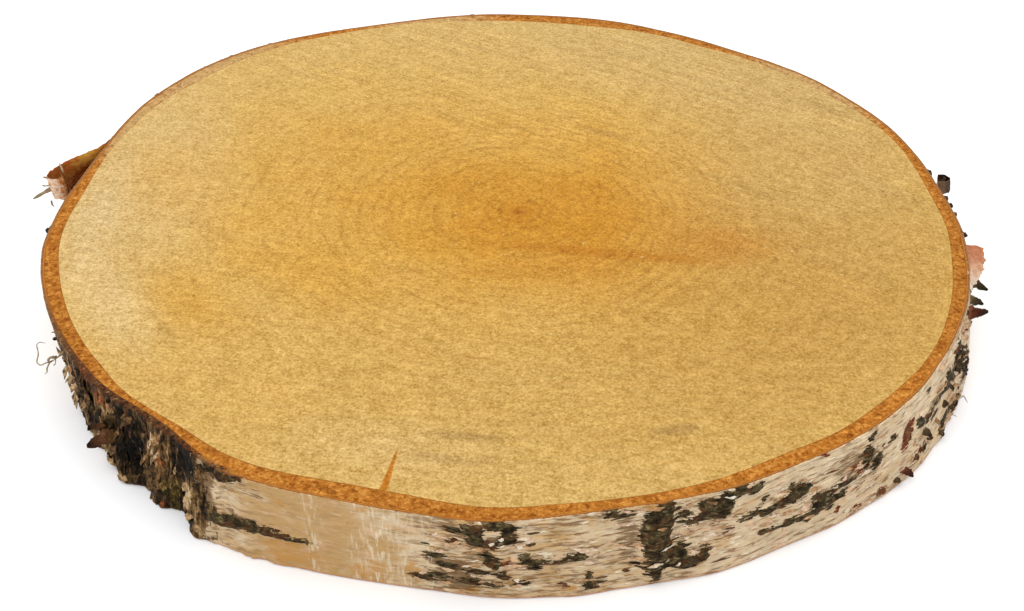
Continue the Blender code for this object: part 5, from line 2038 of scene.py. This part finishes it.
@dataclass
class Studio:
    """The plain floor, the soft light and the camera."""

    floor_half: float = 1.6
    floor_level: float = -0.0002
    floor_tone: Triple = (0.93, 0.935, 0.945)
    world_strength: float = 1.22
    lens: float = 52.734
    sensor: float = 36.0
    eye: Triple = (0.0021668, -0.384849, 0.264413)
    pitch: float = 35.7087
    roll: float = 0.7716
    lights: tuple[tuple[str, Triple, float, float], ...] = (
        ("key_light", (-0.35, -0.45, 1.0), 0.7, 3.2),
        ("fill_light", (0.7, 0.1, 0.8), 0.7, 1.4),
    )

    def make_floor(self) -> Thing:
        """Make the floor and return it."""
        graph = NodeGraph("pale_floor")
        colour = graph.brighten(self.floor_tone, graph.swing(graph.noise(60.0), 0.5, 0.01))
        material = graph.finish(colour, 0.9, graph.noise(8.0), 0.01)
        reach, level = self.floor_half, self.floor_level
        corners = [(x * reach, y * reach, level) for x, y in ((-1, -1), (1, -1), (1, 1), (-1, 1))]
        data = bpy.data.meshes.new("floor")
        data.from_pydata(corners, [], [(0, 1, 2, 3)])
        data.materials.append(material)
        floor = bpy.data.objects.new("floor", data)
        bpy.context.scene.collection.objects.link(floor)
        return floor

    def make_world(self) -> None:
        """Light the scene evenly from all sides."""
        world = bpy.data.worlds.new("studio")
        world.use_nodes = True
        background = world.node_tree.nodes["Background"]
        background.inputs["Color"].default_value = (1.0, 1.0, 1.0, 1.0)
        background.inputs["Strength"].default_value = self.world_strength
        bpy.context.scene.world = world
        bpy.context.scene.view_settings.view_transform = "Standard"

    def make_lights(self) -> None:
        """Hang the soft boxes."""
        for name, place, size, power in self.lights:
            lamp = bpy.data.lights.new(name, "AREA")
            lamp.size = size
            lamp.energy = power
            thing = bpy.data.objects.new(name, lamp)
            thing.location = place
            thing.rotation_euler = (-Vector(place)).to_track_quat("-Z", "Y").to_euler()
            bpy.context.scene.collection.objects.link(thing)

    def make_camera(self) -> None:
        """Set the camera at the photograph's viewing angle."""
        tilt, roll = math.radians(self.pitch), math.radians(self.roll)
        level = Vector((1.0, 0.0, 0.0))
        rise = Vector((0.0, math.sin(tilt), math.cos(tilt)))
        ahead = Vector((0.0, math.cos(tilt), -math.sin(tilt)))
        right = math.cos(roll) * level + math.sin(roll) * rise
        up = math.cos(roll) * rise - math.sin(roll) * level
        turned = Matrix((right, up, -ahead)).transposed().to_4x4()
        camera = bpy.data.cameras.new("camera")
        camera.lens = self.lens
        camera.sensor_width = self.sensor
        camera.clip_start = 0.01
        camera.clip_end = 20.0
        thing = bpy.data.objects.new("camera", camera)
        thing.matrix_world = Matrix.Translation(self.eye) @ turned
        bpy.context.scene.collection.objects.link(thing)
        bpy.context.scene.camera = thing

    def build(self) -> None:
        """Set up the whole studio."""
        self.make_floor()
        self.make_world()
        self.make_lights()
        self.make_camera()


def make_peels(trunk: Trunk) -> tuple[Peel, ...]:
    """Return the long ribbon at the left and the dark scroll at the right."""
    ribbon_route = (
        (-125.9, 44.8), (-127.9, 38.2), (-130.4, 32.6), (-134.8, 27.8), (-138.6, 23.6), (-140.9, 19.6),
        (-142.3, 15.6),
    )
    skirt_route = ((-126.6, 33.5), (-130.4, 29.8), (-134.0, 25.6), (-136.9, 21.4), (-138.6, 17.4))
    scroll_route = ((133.2, 12.4), (133.3, 15.8), (134.4, 19.2))
    return (
        # The skirt, a dark sheet in the gap under the ribbon, is partly painted shade
        Peel(
            trunk, "ribbon_skirt", PeelKind.SKIRT, skirt_route, centre=(-136.0, 16.6), radius=2.7,
            turn=80.0, drops=(5.0, 15.0), ragged=1.4, frayed=0.9,
        ),
        Peel(
            trunk, "bark_ribbon", PeelKind.RIBBON, ribbon_route, centre=(-139.7, 14.6), radius=2.8,
            turn=250.0, drops=(0.2, 7.8), ragged=1.3, frayed=1.0,
        ),
        Peel(
            trunk, "dark_scroll", PeelKind.DARK_SCROLL, scroll_route, centre=(136.3, 21.0), radius=2.6,
            turn=560.0, drops=(0.4, 5.4), thickness=0.42, shrink=0.75, ragged=0.6,
        ),
    )


def make_thorns(trunk: Trunk) -> tuple[Thorn, ...]:
    """Return the scraps that stick out of the bark."""
    rows = (
        ("knob", PeelKind.KNOB, -137.5, 13.2, 6.4, 2.2, 2.5, 1.2, -0.8),
        ("knob_prong", PeelKind.KNOB, -138.2, 11.2, 4.6, 0.7, 0.9, -0.8, -0.4, None),
        ("right_nib_1", PeelKind.DARK, -12.6, 5.4, 5.0, 1.3, 1.6, 0.6, -1.6),
        ("right_nib_2", PeelKind.DARK, -16.8, 4.4, 3.6, 1.2, 1.4, 0.6, -0.5),
        ("right_nib_3", PeelKind.RUST, -19.2, 5.0, 5.0, 1.3, 1.9, -0.8, 1.0),
        ("left_nib", PeelKind.DARK, -173.8, 1.6, 1.8, 1.0, 1.6, 0.3),
        ("rim_nib_1", PeelKind.DARK, 2.6, 1.9, 1.8, 1.0, 1.5, 0.2),
        ("rim_nib_2", PeelKind.RUST, -4.6, 1.4, 1.5, 0.9, 1.4, 0.3),
        ("low_scrap_1", PeelKind.DARK, -37.6, 14.5, 2.2, 1.3, 0.8, 0.8),
        ("low_scrap_2", PeelKind.RUST, -41.5, 21.5, 2.6, 1.5, 0.8, 0.8),
        ("back_scrap", PeelKind.DARK, 132.0, 2.2, 2.6, 2.6, 1.8, 0.4),
    )
    return tuple(Thorn(trunk, *row) for row in rows)


def make_whiskers(trunk: Trunk) -> tuple[Whiskers, ...]:
    """Return the fine fibres: thickness, then bearing, reach and drop along each."""
    left = (
        (0.2, (
            (-149.3, -0.8, 5), (-149.6, 1.7, 6), (-149.4, 4.2, 6.5), (-149.4, 5.7, 6.5),
            (-149.3, 7.2, 6.5), (-149.9, 7.7, 6.2), (-150.7, 6.6, 5.6), (-151.6, 6.1, 5.2),
            (-152.2, 5.9, 5), (-152.3, 4.9, 4.6), (-152, 3.7, 4.8),
        )),
        (0.34, (
            (-149.7, 2.4, 6), (-149.7, 3.2, 6), (-149.7, 4.2, 5.8), (-149.4, 5, 6), (-149.3, 4.6, 6.4),
            (-149.4, 4, 6.3),
        )),
        (0.2, ((-149.3, 4.7, 6.4), (-148.7, 6.1, 7), (-148.2, 6.6, 7.3), (-148.1, 7.4, 7.5))),
        (0.26, ((-151.2, -1.9, 3), (-152.2, -0.8, 3.2), (-152.7, 0.2, 3.4), (-152.9, 1.1, 3.4))),
        (0.24, ((-149.2, -0.6, 4), (-149.2, 1, 4.5), (-149, 2.4, 5))),
        (0.16, ((-149.5, 3, 6.2), (-149, 3.6, 6.8), (-148.8, 4.3, 7))),
        (0.3, ((-146, 0.5, 8), (-146.6, 2.6, 8.6), (-146, 3.8, 8.4))),
    )
    right = (
        (0.14, ((-29.4, 1.6, 16), (-29.1, 3.6, 15.6), (-29.5, 4.6, 15.6), (-29.8, 5.4, 16))),
        (0.12, ((-29.7, 1.6, 16.6), (-29.5, 3, 16), (-29, 3.9, 15.2))),
        (0.12, ((-31, 1.2, 18), (-31.3, 2.6, 18.4), (-31, 3.4, 19.2))),
    )
    splinters = (
        (0.6, ((174.3, 10.4, 4.6), (175.2, 11.8, 4.7), (175.9, 13, 4.9), (176.8, 14.2, 5))),
        (0.34, ((172.7, 7.6, 1.4), (171.9, 9, 0.5), (171.2, 10.1, 0.3))),
        (0.34, ((174.3, 10, 1.8), (174.2, 11.6, 1.3), (174.2, 12.7, 1.1))),
        (0.3, ((174.6, 10.6, 3.3), (174.9, 11.9, 3.2), (174.9, 12.8, 3))),
        (0.34, ((174.2, 10.8, 2.6), (173.9, 11.7, 4.4), (173.7, 12, 5.6))),
        (0.3, ((176.4, 9.4, 6.2), (176.3, 9.7, 7.6), (176.1, 9.6, 8.6))),
    )
    return (
        Whiskers(trunk, "left_whiskers", PeelKind.FIBRE, left),
        Whiskers(trunk, "right_hairs", PeelKind.FIBRE, right),
        Whiskers(trunk, "ribbon_splinters", PeelKind.FIBRE, splinters),
    )


def main() -> None:
    """Build every piece of the slice and the studio."""
    logging.basicConfig(level=logging.INFO, format="%(name)s %(message)s")
    trunk = Trunk()
    WoodDisc(trunk).build(material_of(WoodFinish()))
    InnerBark(trunk).build(material_of(InnerBarkFinish()))
    bark = OuterBark(trunk, bark_map=BarkMap(trunk))
    bark.build(material_of(OuterBarkFinish()))
    scraps = (*make_peels(trunk), PinkFlap(trunk), *make_thorns(trunk), *make_whiskers(trunk))
    for scrap in (*scraps, *FlakeCover(bark).pieces()):
        scrap.build(material_of(scrap.kind.value))
    Studio().build()


if __name__ == "__main__":
    main()
